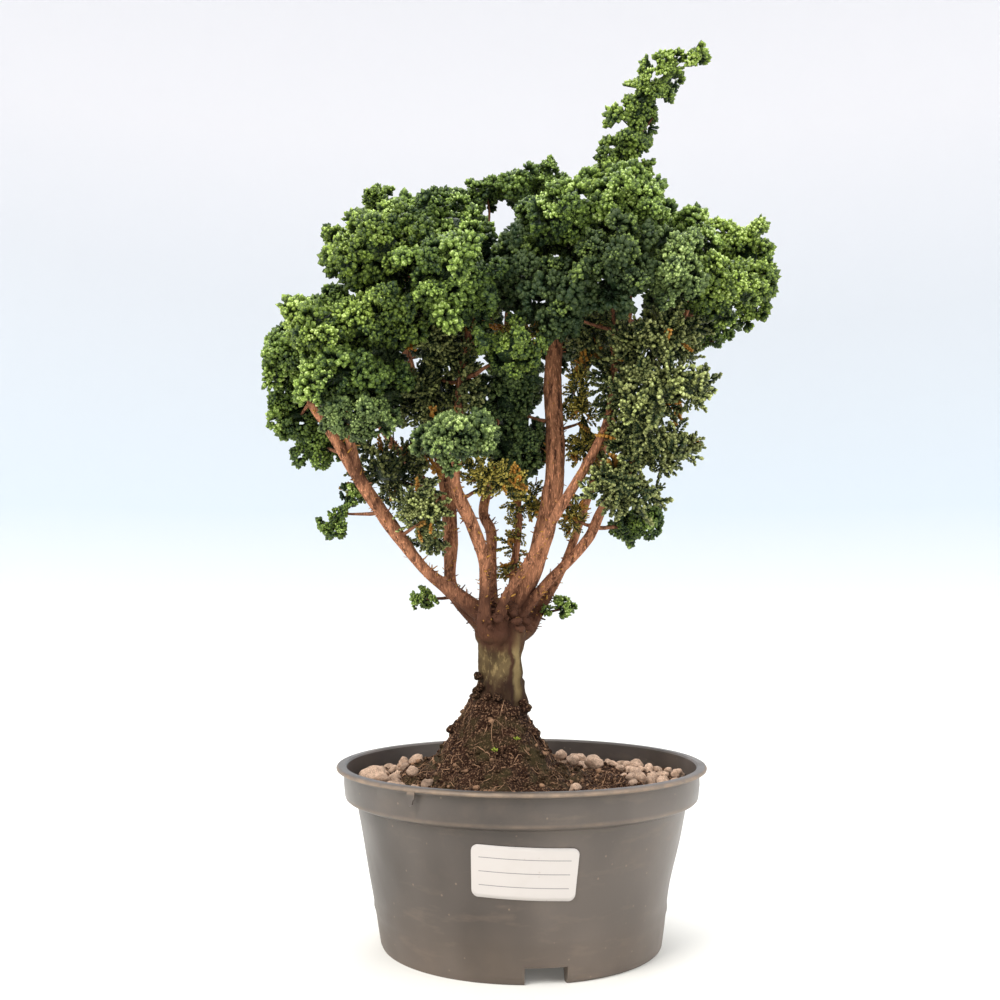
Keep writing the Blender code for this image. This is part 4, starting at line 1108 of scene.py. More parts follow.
def build_gravel(settings, node):
    """A patch of stones: a jittered polar grid of rough balls that lie on the soil."""
    first, last, inner, seed = GRAVEL_PATCHES[node]
    draw = np.random.default_rng(seed)
    places = []
    for radius in np.arange(inner, 0.0800, ROW_STEP):
        steps = np.arange(first, last, STONE_STEP / radius)
        jitter = draw.uniform(-0.3, 0.3, (len(steps), 2))
        angle = steps + jitter[:, 0] * STONE_STEP / radius
        reach = np.minimum(radius + jitter[:, 1] * ROW_SHIFT, GRAVEL_OUTSIDE)
        places.append(reach[:, None] * rays(angle))
    flat = np.concatenate(places)
    # The patch thins out towards the mound
    thin = smooth_step(inner - 0.004, inner + 0.014, lengths(flat))
    flat = flat[draw.random(len(flat)) < 0.30 + 0.65 * thin]
    sizes = settings.stone_size * draw.uniform(0.60, 1.08, len(flat))
    middles = np.column_stack([flat, soil_height(flat[:, 0], flat[:, 1]) + 0.42 * sizes])
    large = np.array(LARGE_STONES[node]) * MM
    middles = np.concatenate([middles, large[:, :3]])
    sizes = np.concatenate([sizes, large[:, 3]])
    points, faces = lumps(draw, middles, sizes, 0.82, 0.34, 3)
    shape = Shape()
    tone = np.concatenate([draw.beta(1.2, 2.6, len(flat)), np.full(len(large), 0.2)])
    shape.add_copies(faces, points, tone=tone[:, None])
    return shape.piece(node + "_stones", stone_material(settings), node)


# Wood


def smooth_route(route, step):
    """A smooth curve through a route's places and radii, by cubic pieces with shared slopes.

    Between two points a share t along, it is the Hermite blend of both points and of the
    slopes there, each half of the way from the point before to the point after.
    """
    rows = np.array(route, float) * MM
    slopes = np.gradient(rows, axis=0)
    pieces = []
    for index, span in enumerate(lengths(np.diff(rows[:, :3], axis=0))):
        t = np.linspace(0, 1, max(2, int(span / step)), endpoint=False)[:, None]
        pieces.append((2 * t ** 3 - 3 * t ** 2 + 1) * rows[index]
                      + (t ** 3 - 2 * t ** 2 + t) * slopes[index]
                      + (3 * t ** 2 - 2 * t ** 3) * rows[index + 1]
                      + (t ** 3 - t ** 2) * slopes[index + 1])
    return np.concatenate([*pieces, rows[-1:]])


def above_trunk(limbs):
    """The rows of every limb but the trunk, one after the other."""
    return np.concatenate([rows for name, rows in limbs.items() if name != "trunk"])


BARK_RUN = 0.020
BARK_RADIUS = 0.006


def bark_relief(settings, seed, radii, strength):
    """Ridges along a limb: noise on a cylinder that is drawn out along it."""
    def relief(path, angle):
        run = np.concatenate([[0], np.cumsum(lengths(np.diff(path, axis=0)))])
        spots = rays(angle, run[:, None] / BARK_RUN)
        size = settings.relief * strength * np.clip(radii / BARK_RADIUS, 0.35, 1.5)
        return size[:, None] * (layered_noise(spots, 0.55, 3, seed)
                                + 0.8 * noise(spots, 0.9, seed + 50))
    return relief


# How much slimmer a limb is than its solid above the fork, and the heights between which
# that sets in
SLIMMER = {"trunk": 0.0, "leader": 0.20, "front_left": 0.38, "front_right": 0.45, "right": 0.42}
SLIMMER_ELSE = 0.30
SLIMMER_LEVELS = (0.138, 0.164)
# Near the fork the limbs are slimmer still, so that they stay apart
FORK_SLIMMER = 0.20
FORK_LEVEL = 0.174
FORK_SPREAD = 0.024
# The strength of the relief and the number of sides, of the trunk and of the other limbs
TRUNK_FINISH = (2.6, 48)
LIMB_FINISH = (1.2, 18)


def build_wood(settings, names):
    """The trunk, limbs and twigs as tubes along smooth routes, with stubs and dead flakes."""
    draw = np.random.default_rng(7)
    shape = Shape()
    limbs = {}
    for seed, (name, route) in enumerate(LIMBS.items()):
        rows = smooth_route(route, 0.0021)
        path = rows[:, :3]
        slimmer = SLIMMER.get(name, SLIMMER_ELSE) * smooth_step(*SLIMMER_LEVELS, rows[:, 2])
        parting = FORK_SLIMMER * np.exp(-((rows[:, 2] - FORK_LEVEL) / FORK_SPREAD) ** 2)
        radii = rows[:, 3] * (1 - slimmer - (name != "trunk") * parting)
        limbs[name] = np.column_stack([path, radii])
        wander = layered_noise(path + seed, 0.016, 2, seed + 3)
        strength, sides = TRUNK_FINISH if name == "trunk" else LIMB_FINISH
        shape.add_tube(path, radii * (1 + 0.07 * wander), sides,
                       bark_relief(settings, seed, radii, strength), ridge=0.75, dead=0.0)
    shade_crevices(shape, limbs)
    add_twigs(shape, limbs, names, draw)
    add_stubs(shape, settings, limbs, draw)
    add_debris(shape, draw)
    return shape.piece("bark_wood", bark_material(settings), "trunk_and_branches")


# How far from another limb the painted shade of a crevice reaches
CREVICE_WIDTH = 0.0032


def shade_crevices(shape, limbs):
    """Lowers the ridge value where a limb's surface comes near another limb, which paints the bark
    darker there: painted shade between the limbs.

    The gap at a point is the least distance to another limb's axis less that limb's radius.
    """
    for number, name in enumerate(limbs):
        others = np.concatenate([rows for other, rows in limbs.items() if other != name])
        away = lengths(shape.points[number][:, None] - others[None, :, :3]) - others[:, 3]
        near = smooth_step(CREVICE_WIDTH, 0.0, away.min(axis=1))
        shape.values["ridge"][number] = shape.values["ridge"][number] * (1 - near)


# A twig's sag and sway as shares of its reach, its root's radius with what each metre of
# reach adds to it, and its tip's radius
TWIG_SAG = 0.18
TWIG_SWAY = 0.05
TWIG_BASE = (0.0009, 0.016)
TWIG_TIP = 0.0005


def add_twigs(shape, limbs, names, draw):
    """A curved twig from the nearest limb into each mass of foliage."""
    rows = above_trunk(limbs)
    share = np.linspace(0, 1, 14)[:, None]
    for number, name in enumerate(names):
        points = welded(name)[0]
        half = np.ptp(points, axis=0) / 2
        aim = points.mean(axis=0) + half * draw.uniform(-0.15, 0.15, 3)
        distance = lengths(rows[:, :3] - aim) + 0.5 * np.maximum(0, rows[:, 2] - aim[2] + 0.006)
        nearest = rows[np.argmin(distance)]
        start, reach = nearest[:3], np.linalg.norm(aim - nearest[:3])
        sag = np.array([0, 0, -TWIG_SAG * reach]) * (share * (1 - share))
        sway = np.stack([noise(share.repeat(3, 1) + 5 * axis + number, 0.4, 11 + axis)
                         for axis in range(3)], -1) * TWIG_SWAY * reach * share
        path = start + (aim - start) * share + sag + sway
        base = min(0.8 * nearest[3], TWIG_BASE[0] + TWIG_BASE[1] * reach)
        radii = base + (TWIG_TIP - base) * share[:, 0] ** 0.7
        # The ridge value falls towards the twig's tip, which paints it darker inside the foliage:
        # painted shade
        shape.add_tube(path, radii, 8, ridge=0.5 - 0.4 * share[:, 0], dead=0.0)


DEBRIS_COUNT = 120
DEBRIS_RADIUS = 0.0125
DEBRIS_SHIFT = (0.001, -0.0035)
DEBRIS_LEVELS = (0.152, 0.165)
DEBRIS_DEAD = 0.12


def add_debris(shape, draw):
    """Crumbs of dead bark and scales caught where the limbs part, heaped in the middle."""
    share = np.sqrt(draw.random(DEBRIS_COUNT))
    ring = rays(draw.uniform(0, math.tau, DEBRIS_COUNT))
    flat = TRUNK_AXIS + DEBRIS_SHIFT + DEBRIS_RADIUS * share[:, None] * ring
    low, high = DEBRIS_LEVELS
    level = high - (high - low) * share ** 1.5 + 0.0007 * draw.normal(size=DEBRIS_COUNT)
    sizes = draw.uniform(0.0009, 0.0026, DEBRIS_COUNT)
    points, faces = lumps(draw, np.column_stack([flat, level]), sizes, 0.9, 0.55, 2)
    shape.add_copies(faces, points, ridge=draw.uniform(0.0, 0.35, (DEBRIS_COUNT, 1)),
                     dead=0.3 * (draw.random((DEBRIS_COUNT, 1)) < DEBRIS_DEAD))


# Stubs crowd round the fork, less so above it, and a few are left all over
STUB_FORK = (0.157, 0.012, 3.0)
STUB_FADE = (0.155, 0.090)
STUB_LEAST = 0.25
# The share of golden stubs below and above a height
GOLDEN_LEVEL = 0.166
GOLDEN = (0.15, 0.50)


def add_stubs(shape, settings, limbs, draw):
    """Dead stubs and flakes that stand out of the limbs, thickest where limbs part."""
    rows = above_trunk(limbs)
    middle, width, crowd = STUB_FORK
    chance = crowd * np.exp(-((rows[:, 2] - middle) / width) ** 2) + np.exp(
        -(rows[:, 2] - STUB_FADE[0]) / STUB_FADE[1]) + STUB_LEAST
    share = np.linspace(0, 1, 3)[:, None]
    for row in rows[draw.choice(len(rows), settings.stub_count, p=chance / chance.sum())]:
        out = unit(draw.normal(size=3) * (1, 1, 0.6))
        start = row[:3] + out * row[3] * 0.6
        reach = draw.uniform(0.0010, 0.0026) + 0.35 * row[3]
        bend = unit(draw.normal(size=3)) * 0.6 + (0, 0, 0.5)
        path = start + reach * (out * share + bend * share ** 2 * 0.5)
        thin = draw.uniform(0.00028, 0.00085)
        golden = GOLDEN[0] if row[2] < GOLDEN_LEVEL else GOLDEN[1]
        dead = (draw.random() < golden) * draw.uniform(0.4, 1.0)
        shape.add_tube(path, thin * (1 - 0.6 * share[:, 0]), 3,
                       ridge=draw.uniform(0.3, 0.9), dead=dead)


# Foliage

CROWN_MIDDLE = np.array([0.0, 0.0, 0.275])
CROWN_HALF = np.array([0.127, 0.090, 0.105])
FERN_TINTS = ("olive", "amber")
# The share of withered sprays
DEAD_SHARE = {"olive": 0.03, "amber": 0.12}
# How much of its tint a spray keeps deep inside
INNER_TINT = {"amber": 0.70, "olive": 0.42}
INNER_TINT_ELSE = 0.30
# The least thickness of a full node. Those with less than a share of it have no core
FULL_NODE = 0.026
SMALLEST_CORE = 0.72
RELAXING = 6
CORE_SHARE_FERN = 0.78
CORE_SHARE = 0.87
CORE_ROUGHNESS = 0.0016
# The heights between which the leader's sprays get smaller, and by how much
LEADER_LEVELS = (0.402, 0.440)
LEADER_TAPER = 0.25
# Where the painted shade on the leader's foot starts, and how much darker it is
LEADER_FOOT = (0.364, 0.378)
LEADER_SHADE = 0.45
# Rays that tell how open a spot lies, and the openness under which it gets no tuft
RAY_COUNT = 14
RAY_LIFT = 0.0015
RAY_REACH = 0.050
HIDDEN_BELOW = 0.15
# Tufts per area on the nodes at the back, as a share of those in front, and the fewest
BACK_SHARE = 0.64
FEWEST_TUFTS = 6
# How much deeper ferns are rooted, and how young they are at least
FERN_ROOTING = 1.35
FERN_YOUTH = 0.45
# The share of tall tufts, and their stature
TALL_TUFTS = (0.15, 1.24)
# Where the sprays of a tuft head: the turn about its axis and the tilt away from it
FLORETS = ((0.0, 0.12), (0.4, 0.92), (2.0, 0.98), (3.5, 0.90), (5.1, 1.0))
FERNS = ((0.0, 0.10), (0.5, 0.80), (1.9, 0.98), (3.1, 0.78), (4.5, 0.98))
# A floret's beads, how far they start along its stem, their spread, width and flatness
FLORET = (9, 0.28, 0.92, 0.36, 0.50)
# A fern's lobes, their spread from its stem, their length and width, and its cupping
FERN = (11, 0.95, 0.28, 0.150, 0.12)
# Limbs that ferns of a node grow from: the limb, the heights they cover and their number
LIMB_TUFTS = {
    "foliage_inner_left_column": ("front_left", 0.236, 0.322, 30),
    "foliage_right_upper_ferns": ("front_right", 0.256, 0.310, 16),
    "foliage_right_lower_ferns": ("right", 0.214, 0.262, 14),
    "foliage_amber_column": ("thin_middle", 0.176, 0.236, 14),
}


# Square centimetres in a square metre, and how many spots are tried for each that is kept
SQUARE_CM = 1e4
TRIED = 8
# What turns a tuft's axis: the outline there, the way from the middle, up, and chance
TUFT_OUT = 0.55
TUFT_AWAY = 0.45
TUFT_UP = (0, 0, 0.30)
TUFT_STRAY = 0.26
# Liveliness: what facing up adds as painted light from above, what chance adds, and the range over
# which it rises outwards
LIVELY_UP = 0.35
LIVELY_CHANCE = 0.12
LIVELY_RANGE = (0.35, 1.15)
# The least liveliness in the shade, which paints shaded tufts darker, the range of openness over
# which they are painted brighter, and the patches' strength and size
SHADED = 0.22
OPEN_RANGE = (0.15, 0.75)
PATCHES = 0.54
PATCH_SIZE = 0.017


def drop_shape():
    """One lobe along +X: a pointed root, a ring of four points two thirds along, a blunt tip."""
    ring = 0.5 * rays((np.arange(4) + 0.5) * math.tau / 4)
    points = np.concatenate([[(0, 0, 0)], np.column_stack([np.full(4, 0.77), ring]), [(1, 0, 0)]])
    here, there = 1 + np.arange(4), 1 + (np.arange(4) + 1) % 4
    root, end = np.zeros(4, int), np.full(4, 5)
    faces = np.concatenate([np.column_stack([root, there, here]),
                            np.column_stack([end, here, there])])
    return points, faces


def lobe_faces(faces, count, corners):
    """The faces of several lobes whose points follow each other."""
    return (faces + np.arange(count)[:, None, None] * corners).reshape(-1, 3)


def floret_shape(draw, count, start, spread, width, flatness):
    """A floret of unit length: beads that fan out from one point of its stem, like a rosette.

    Bead k leaves the stem at the spread times the root of k / (count - 1), and each one is
    turned by the golden angle from the one before. The flatness narrows the fan in z.
    """
    drop, drop_faces = drop_shape()
    order = np.arange(count) / (count - 1)
    lean = spread * np.sqrt(order) * draw.uniform(0.90, 1.08, count)
    turn = spiral(count) + draw.uniform(-0.25, 0.25, count)
    along = unit(np.stack([np.cos(lean), np.sin(lean) * np.cos(turn),
                           flatness * np.sin(lean) * np.sin(turn)], axis=-1))
    across = unit(np.cross(along, draw.normal(size=(count, 3))))
    long = (1 - start) * draw.uniform(0.72, 1.16, count)
    wide = width * draw.uniform(0.74, 1.14, count)
    points = np.zeros((count, len(drop), 3)) + (start, 0, 0)
    ways = ((along, long), (across, wide), (np.cross(along, across), wide))
    for part, (way, size) in enumerate(ways):
        points += way[:, None] * (drop[:, part:part + 1] * size[:, None, None])
    tip = drop[:, 0] ** 2 * draw.uniform(0.78, 1.0, count)[:, None]
    return points.reshape(-1, 3), lobe_faces(drop_faces, count, len(drop)), tip.ravel()


def fern_shape(draw, count, spread, reach, width, cup):
    """A fern of unit length: lobes leave its stem left and right in turn, and one ends it.

    Lobe k starts at the share s of the stem and heads off by plus or minus the spread, less
    and less towards the end. Everything rises by the cupping times its squared offset.
    """
    drop, drop_faces = drop_shape()
    order = np.arange(count) / (count - 1)
    start = 0.10 + (0.98 - reach - 0.10) * order
    heading = spread * (1 - 0.5 * order) * np.where(np.arange(count) % 2, 1, -1)
    heading[-1] = 0.0
    heading = heading + draw.uniform(-0.16, 0.16, count)
    long = reach * draw.uniform(0.85, 1.15, count)
    wide = width * draw.uniform(0.85, 1.15, count)
    x = drop[:, 0] * long[:, None]
    y = drop[:, 1] * wide[:, None]
    z = drop[:, 2] * wide[:, None] + draw.uniform(-0.16, 0.16, count)[:, None] * x
    cos, sin = np.cos(heading)[:, None], np.sin(heading)[:, None]
    along = start[:, None] + x * cos - y * sin
    across = x * sin + y * cos
    points = np.stack([along, across, z + cup * across ** 2], axis=-1)
    tip = drop[:, 0] ** 1.5 * (0.45 + 0.55 * order[:, None]) ** 0.6
    return points.reshape(-1, 3), lobe_faces(drop_faces, count, len(drop)), tip.ravel()


def welded(node):
    """A node's points, with doubles merged, its triangles, and their areas as vectors."""
    mesh = frame["nodes"][node].data
    points = np.empty(len(mesh.vertices) * 3)
    mesh.vertices.foreach_get("co", points)
    mesh.calc_loop_triangles()
    corners = np.empty(len(mesh.loop_triangles) * 3, np.int32)
    mesh.loop_triangles.foreach_get("vertices", corners)
    rounded = np.round(points.reshape(-1, 3), 6)
    merged, index = np.unique(rounded, axis=0, return_inverse=True)
    triangles = index.ravel()[corners].reshape(-1, 3)
    a, b, c = (merged[triangles[:, side]] for side in range(3))
    facing = np.cross(b - a, c - a) / 2
    kept = lengths(facing) > 1e-12
    return merged, triangles[kept], facing[kept]


def relaxed(points, triangles, rounds):
    """The points after several rounds in which each moves to the mean of its neighbours."""
    pairs = np.concatenate([triangles[:, [0, 1]], triangles[:, [1, 2]], triangles[:, [2, 0]]])
    pairs = np.unique(np.concatenate([pairs, pairs[:, ::-1]]), axis=0)
    count = np.bincount(pairs[:, 0], minlength=len(points))[:, None]
    for _ in range(rounds):
        total = np.zeros_like(points)
        np.add.at(total, pairs[:, 0], points[pairs[:, 1]])
        points = total / np.maximum(count, 1)
    return points


def limb_spots(draw, limb, low, high, count):
    """Spots just off a limb between two heights, on every side of it, and their directions."""
    rows = smooth_route(LIMBS[limb], 0.0018)
    rows = rows[(rows[:, 2] > low) & (rows[:, 2] < high)]
    rows = rows[np.linspace(0, len(rows) - 1, count).astype(int)]
    out = rays(spiral(count) + draw.uniform(-0.3, 0.3, count), 0.15)
    return rows[:, :3] + out * (rows[:, 3:] + 0.0040), unit(out)


def foliage_tree(nodes):
    """All the foliage solids as one tree of triangles that rays can be cast at."""
    points, triangles, total = [], [], 0
    for node in nodes:
        own_points, own_triangles, _ = welded(node)
        points.append(own_points)
        triangles.append(own_triangles + total)
        total += len(own_points)
    return BVHTree.FromPolygons(np.concatenate(points).tolist(),
                                np.concatenate(triangles).tolist())


def openness(draw, spots, normals, tree):
    """The share of the rays from each spot, mostly straight out, that meet no foliage."""
    fans = unit(normals[:, None] + unit(draw.normal(size=(len(spots), RAY_COUNT, 3))))
    starts = spots + RAY_LIFT * normals
    free = [[tree.ray_cast(start, ray, RAY_REACH)[0] is None for ray in fan]
            for start, fan in zip(starts.tolist(), fans.tolist())]
    return np.mean(free, axis=1)


def tuft_places(draw, points, triangles, facing, count):
    """Spots spread evenly over a node's outline, each the furthest from those before it."""
    area = lengths(facing)
    chosen = draw.choice(len(triangles), TRIED * count, p=area / area.sum())
    u, v = draw.random((2, TRIED * count))
    fold = u + v > 1
    u, v = np.where(fold, 1 - u, u), np.where(fold, 1 - v, v)
    a, b, c = (points[triangles[chosen, side]] for side in range(3))
    spots = a + u[:, None] * (b - a) + v[:, None] * (c - a)
    order = [0]
    distance = lengths(spots - spots[0])
    while len(order) < count:
        order.append(int(np.argmax(distance)))
        away = lengths(spots - spots[order[-1]]) * draw.uniform(0.6, 1.0)
        distance = np.minimum(distance, away)
    return spots[order], unit(facing[chosen[order]])


def open_places(draw, node, outline, count, tree):
    """The spots of a node's tufts that aren't hidden, with their directions and openness.

    The last array is true for the tufts on the node's outline and false for those on a limb.
    """
    spots, normals = tuft_places(draw, *outline, count)
    outlying = np.ones(count, bool)
    if node in LIMB_TUFTS:
        more_spots, more_normals = limb_spots(draw, *LIMB_TUFTS[node])
        spots = np.concatenate([spots, more_spots])
        normals = np.concatenate([normals, more_normals])
        outlying = np.concatenate([outlying, np.zeros(len(more_spots), bool)])
    free = openness(draw, spots, normals, tree)
    seen = free >= HIDDEN_BELOW
    return spots[seen], normals[seen], free[seen], outlying[seen]


def tuft_axes(draw, normals, middles):
    """Each tuft's own axes: along it, and two across it at a random turn."""
    count = len(normals)
    along = unit(TUFT_OUT * normals + TUFT_AWAY * middles + TUFT_UP
                 + TUFT_STRAY * draw.normal(size=(count, 3)))
    across = unit(np.cross(along, draw.normal(size=(count, 3))))
    return np.stack([along, across, np.cross(along, across)], axis=-1)


STEM_GAP = 0.0072
STEM_DEPTH = 0.0020
STEM_RADIUS = 0.00045


def add_stems(shape, roots, starts, anchors):
    """A thin straight stem for each tuft whose root is far from the nearest anchor.

    It runs from the tuft's start to that anchor, and both ends are held in the model's box.
    """
    away = lengths(roots[:, None] - anchors)
    nearest = away.argmin(axis=1)
    for row in np.flatnonzero(away.min(axis=1) > STEM_GAP):
        path = np.array([starts[row], anchors[nearest[row]]])
        path = np.clip(path, LOWEST + STEM_RADIUS, HIGHEST - STEM_RADIUS)
        shape.add_tube(path, np.full(2, STEM_RADIUS), 3, tip=0.35, youth=0.2, dead=0.0)


def add_shade_core(shape, points, triangles, share):
    """A node's dark heart, a sheet of painted shade: its outline smoothed, drawn in to a share of
    it, and roughened.

    Its points, without the roughness, are what the stems of outlying tufts reach for.
    """
    core = relaxed(points, triangles, RELAXING)
    middle = core.mean(axis=0)
    core = middle + share * (core - middle)
    rough = np.stack([layered_noise(core, 0.0045, 2, 81 + axis) for axis in range(3)], -1)
    # High up at the leader the heart is painted brighter, as painted light, and kept smooth
    high_up = smooth_step(*LEADER_LEVELS, core[:, 2])
    shape.add(core + CORE_ROUGHNESS * rough * (1 - high_up[:, None]), [triangles],
              tip=0.16 + 0.42 * high_up, youth=high_up, dead=0.0)
    return core


def liveliness_and_light(draw, spots, normals, free, least):
    """How young and bright each tuft is: more so far out, and brighter on top and in the open as
    painted light; tufts in the shade of other foliage are painted darker.

    The leader's tip is the liveliest, and its foot is painted darker, as painted shade.
    """
    outer = lengths((spots - CROWN_MIDDLE) / CROWN_HALF)
    outer = outer + LIVELY_UP * normals[:, 2] + LIVELY_CHANCE * draw.normal(size=len(spots))
    lit = SHADED + (1 - SHADED) * smooth_step(*OPEN_RANGE, free)
    lively_and_lit = smooth_step(*LIVELY_RANGE, outer) * lit
    lively_and_lit = np.clip(lively_and_lit + PATCHES * noise(spots, PATCH_SIZE, 61), 0, 1)
    high_up = smooth_step(*LEADER_LEVELS, spots[:, 2])
    lively_and_lit = np.maximum(lively_and_lit, np.maximum(high_up, least))
    foot = smooth_step(*LEADER_FOOT, spots[:, 2]) * (1 - high_up)
    return lively_and_lit * (1 - LEADER_SHADE * foot)


def statures(draw, spots):
    """How large each tuft is: a few stand out, and those at the leader's tip are smaller."""
    count = len(spots)
    share, tall = TALL_TUFTS
    stature = np.where(draw.random(count) < share, tall, draw.uniform(0.76, 1.10, count))
    return stature * (1 - LEADER_TAPER * smooth_step(*LEADER_LEVELS, spots[:, 2]))


def add_sprays(shape, draw, slot, roots, axes, reach, stature, lively_and_lit):
    """The five sprays of each tuft, which head off its axis like petals, by FLORETS or FERNS.

    Each spray has its own axes: along it, across it and square to both.
    """
    count = len(roots)
    fern = slot in FERN_TINTS
    turn = draw.uniform(0, math.tau, count)
    for azimuth, tilt in FERNS if fern else FLORETS:
        template, faces, tip = fern_shape(draw, *FERN) if fern else floret_shape(draw, *FLORET)
        tilts = tilt + draw.uniform(-0.14, 0.14, count)
        turns = turn + azimuth + draw.uniform(-0.25, 0.25, count)
        along = np.stack([np.cos(tilts), np.sin(tilts) * np.cos(turns),
                          np.sin(tilts) * np.sin(turns)])
        heading = unit(np.einsum("nij,jn->ni", axes, along))
        across = unit(np.cross(axes[..., 0], heading))
        own = np.stack([heading, across, np.cross(heading, across)], axis=-1)
        size = reach * draw.uniform(0.80, 1.16, count) * stature
        placed = roots[:, None] + size[:, None, None] * np.einsum("nij,vj->nvi", own, template)
        # A spray that would reach out of the model's box is moved back into it
        placed = placed - np.maximum(0, placed.max(axis=1) - HIGHEST)[:, None]
        placed = placed + np.maximum(0, LOWEST - placed.min(axis=1))[:, None]
        withered = draw.random(count) < DEAD_SHARE.get(slot, 0.0) * (1.3 - lively_and_lit)
        youth = np.clip(lively_and_lit + 0.15 * draw.normal(size=count), 0, 1)
        dead = withered * draw.uniform(0.5, 1.0, count)
        # The less lively and lit a tuft is, the darker its tips are painted: painted shade. Its
        # youth values carry the same painted light
        shape.add_copies([faces], placed, tip=tip * (0.60 + 0.42 * lively_and_lit[:, None]),
                         youth=youth[:, None], dead=dead[:, None])


def build_foliage(settings, node, slot, seed, material, tree):
    """One node's foliage: tufts of sprays, rooted in a dark rough core of painted shade if the node
    is large.
    """
    draw = np.random.default_rng(100 + seed)
    points, triangles, facing = outline = welded(node)
    low, high = points.min(axis=0), points.max(axis=0)
    small = np.clip((high - low).min() / FULL_NODE, 0.5, 1.0)
    fern = slot in FERN_TINTS
    shape = Shape()
    anchors = points.mean(axis=0)[None]
    if small > SMALLEST_CORE:
        anchors = add_shade_core(shape, points, triangles, CORE_SHARE_FERN if fern else CORE_SHARE)
    area = settings.tuft_area * small ** 1.5
    if node.startswith("foliage_back"):
        area /= BACK_SHARE
    count = max(FEWEST_TUFTS, int(lengths(facing).sum() * SQUARE_CM / area))
    spots, normals, free, outlying = open_places(draw, node, outline, count, tree)
    axes = tuft_axes(draw, normals, unit((spots - (low + high) / 2) / (high - low)))
    depth = settings.rooting * small * (FERN_ROOTING if fern else 1.0) * draw.uniform(
        0.75, 1.3, len(spots))
    roots = spots - normals * depth[:, None]
    starts = spots - STEM_DEPTH * normals
    add_stems(shape, roots[outlying], starts[outlying], anchors)
    lively_and_lit = liveliness_and_light(draw, spots, normals, free, FERN_YOUTH if fern else 0.0)
    reach = (settings.fern_reach if fern else settings.fan_reach) * small
    add_sprays(shape, draw, slot, roots, axes, reach, statures(draw, spots), lively_and_lit)
    return shape.piece(node.replace("foliage_", "") + "_sprays", material, node)


# Stage

FLOOR_RINGS = (0.02, 0.3, 0.8)
FLOOR_GLOW = 0.12
STAGE_FLAT = 1.3
STAGE_BEND = 1.6
STAGE_WALL = 1.4
STAGE_COLUMNS = 96
# Heights between which the floor's colour turns to the backdrop's, and that to the upper one
WALL_LEVELS = (0.0, 0.35)
UPPER_LEVELS = (0.35, 1.5)
# Where the room behind the camera starts, along Y
BEHIND_CAMERA = (-0.8, -1.9)
# Lights: where each stands, where it aims, its size, its power and its colour
LIGHTS = {
    "key": ((-0.9, -1.1, 1.5), (0, 0, 0.25), 1.0, 38.0, (1.0, 0.98, 0.95)),
    "fill": ((1.3, -0.9, 0.9), (0, 0, 0.22), 1.2, 13.0, (0.95, 0.98, 1.0)),
    "top": ((0.1, 0.5, 1.7), (0, 0, 0.3), 1.2, 26.0, (1.0, 1.0, 1.0)),
}
SKY_STRENGTH = 0.72
# The camera's sensor, its place to the side, and the angle at which it looks up
SENSOR_WIDTH = 36.0
CAMERA_X = -0.0104
CAMERA_RISE = 0.0714


def build_floor(settings):
    """A pale round floor whose edge curves up into a wall on every side.

    Along each ray the height is 0 up to the flat part's edge, then follows a quarter circle,
    then goes straight up.
    """
    turn = np.linspace(0, math.pi / 2, 24)
    radius = np.concatenate([FLOOR_RINGS, STAGE_FLAT + STAGE_BEND * np.sin(turn),
                             [STAGE_FLAT + STAGE_BEND]])
    height = np.concatenate([np.zeros(len(FLOOR_RINGS)), STAGE_BEND * (1 - np.cos(turn)),
                             [STAGE_BEND + STAGE_WALL]])
    angle = around(STAGE_COLUMNS)
    points = np.stack([radius[:, None] * np.cos(angle), radius[:, None] * np.sin(angle),
                       height[:, None] + 0 * angle], axis=-1).reshape(-1, 3)
    mesh = bpy.data.meshes.new("floor")
    faces = grid_faces(len(radius), STAGE_COLUMNS)[:, ::-1].tolist()
    mesh.from_pydata(points.tolist(), [], faces + [tuple(range(STAGE_COLUMNS))])
    mesh.shade_smooth()
    material, recipe, shader = new_material("Studio Floor", {"Roughness": 0.75,
                                                             "Emission Strength": FLOOR_GLOW})
    _, y, z = recipe.axes(recipe.place())
    tint = recipe.mix(z.spread(*WALL_LEVELS), settings.floor, settings.wall)
    tint = recipe.mix(z.spread(*UPPER_LEVELS), tint, settings.upper)
    tint = recipe.mix(y.spread(*BEHIND_CAMERA), tint, settings.behind)
    recipe.feed(shader["Base Color"], tint)
    recipe.feed(shader["Emission Color"], tint)
    mesh.materials.append(material)
    floor = bpy.data.objects.new("floor", mesh)
    bpy.context.scene.collection.objects.link(floor)


def add_light(name, place, target, size, power, tint):
    """A large soft square light that faces its target."""
    light = bpy.data.lights.new(name, "AREA")
    light.energy = power
    light.size = size
    light.color = tint
    lamp = bpy.data.objects.new(name, light)
    place, target = np.array(place, float), np.array(target, float)
    lamp.location = place
    away = unit(place - target)
    lamp.rotation_euler = (math.acos(away[2]), 0, math.atan2(away[1], away[0]) + math.pi / 2)
    bpy.context.scene.collection.objects.link(lamp)


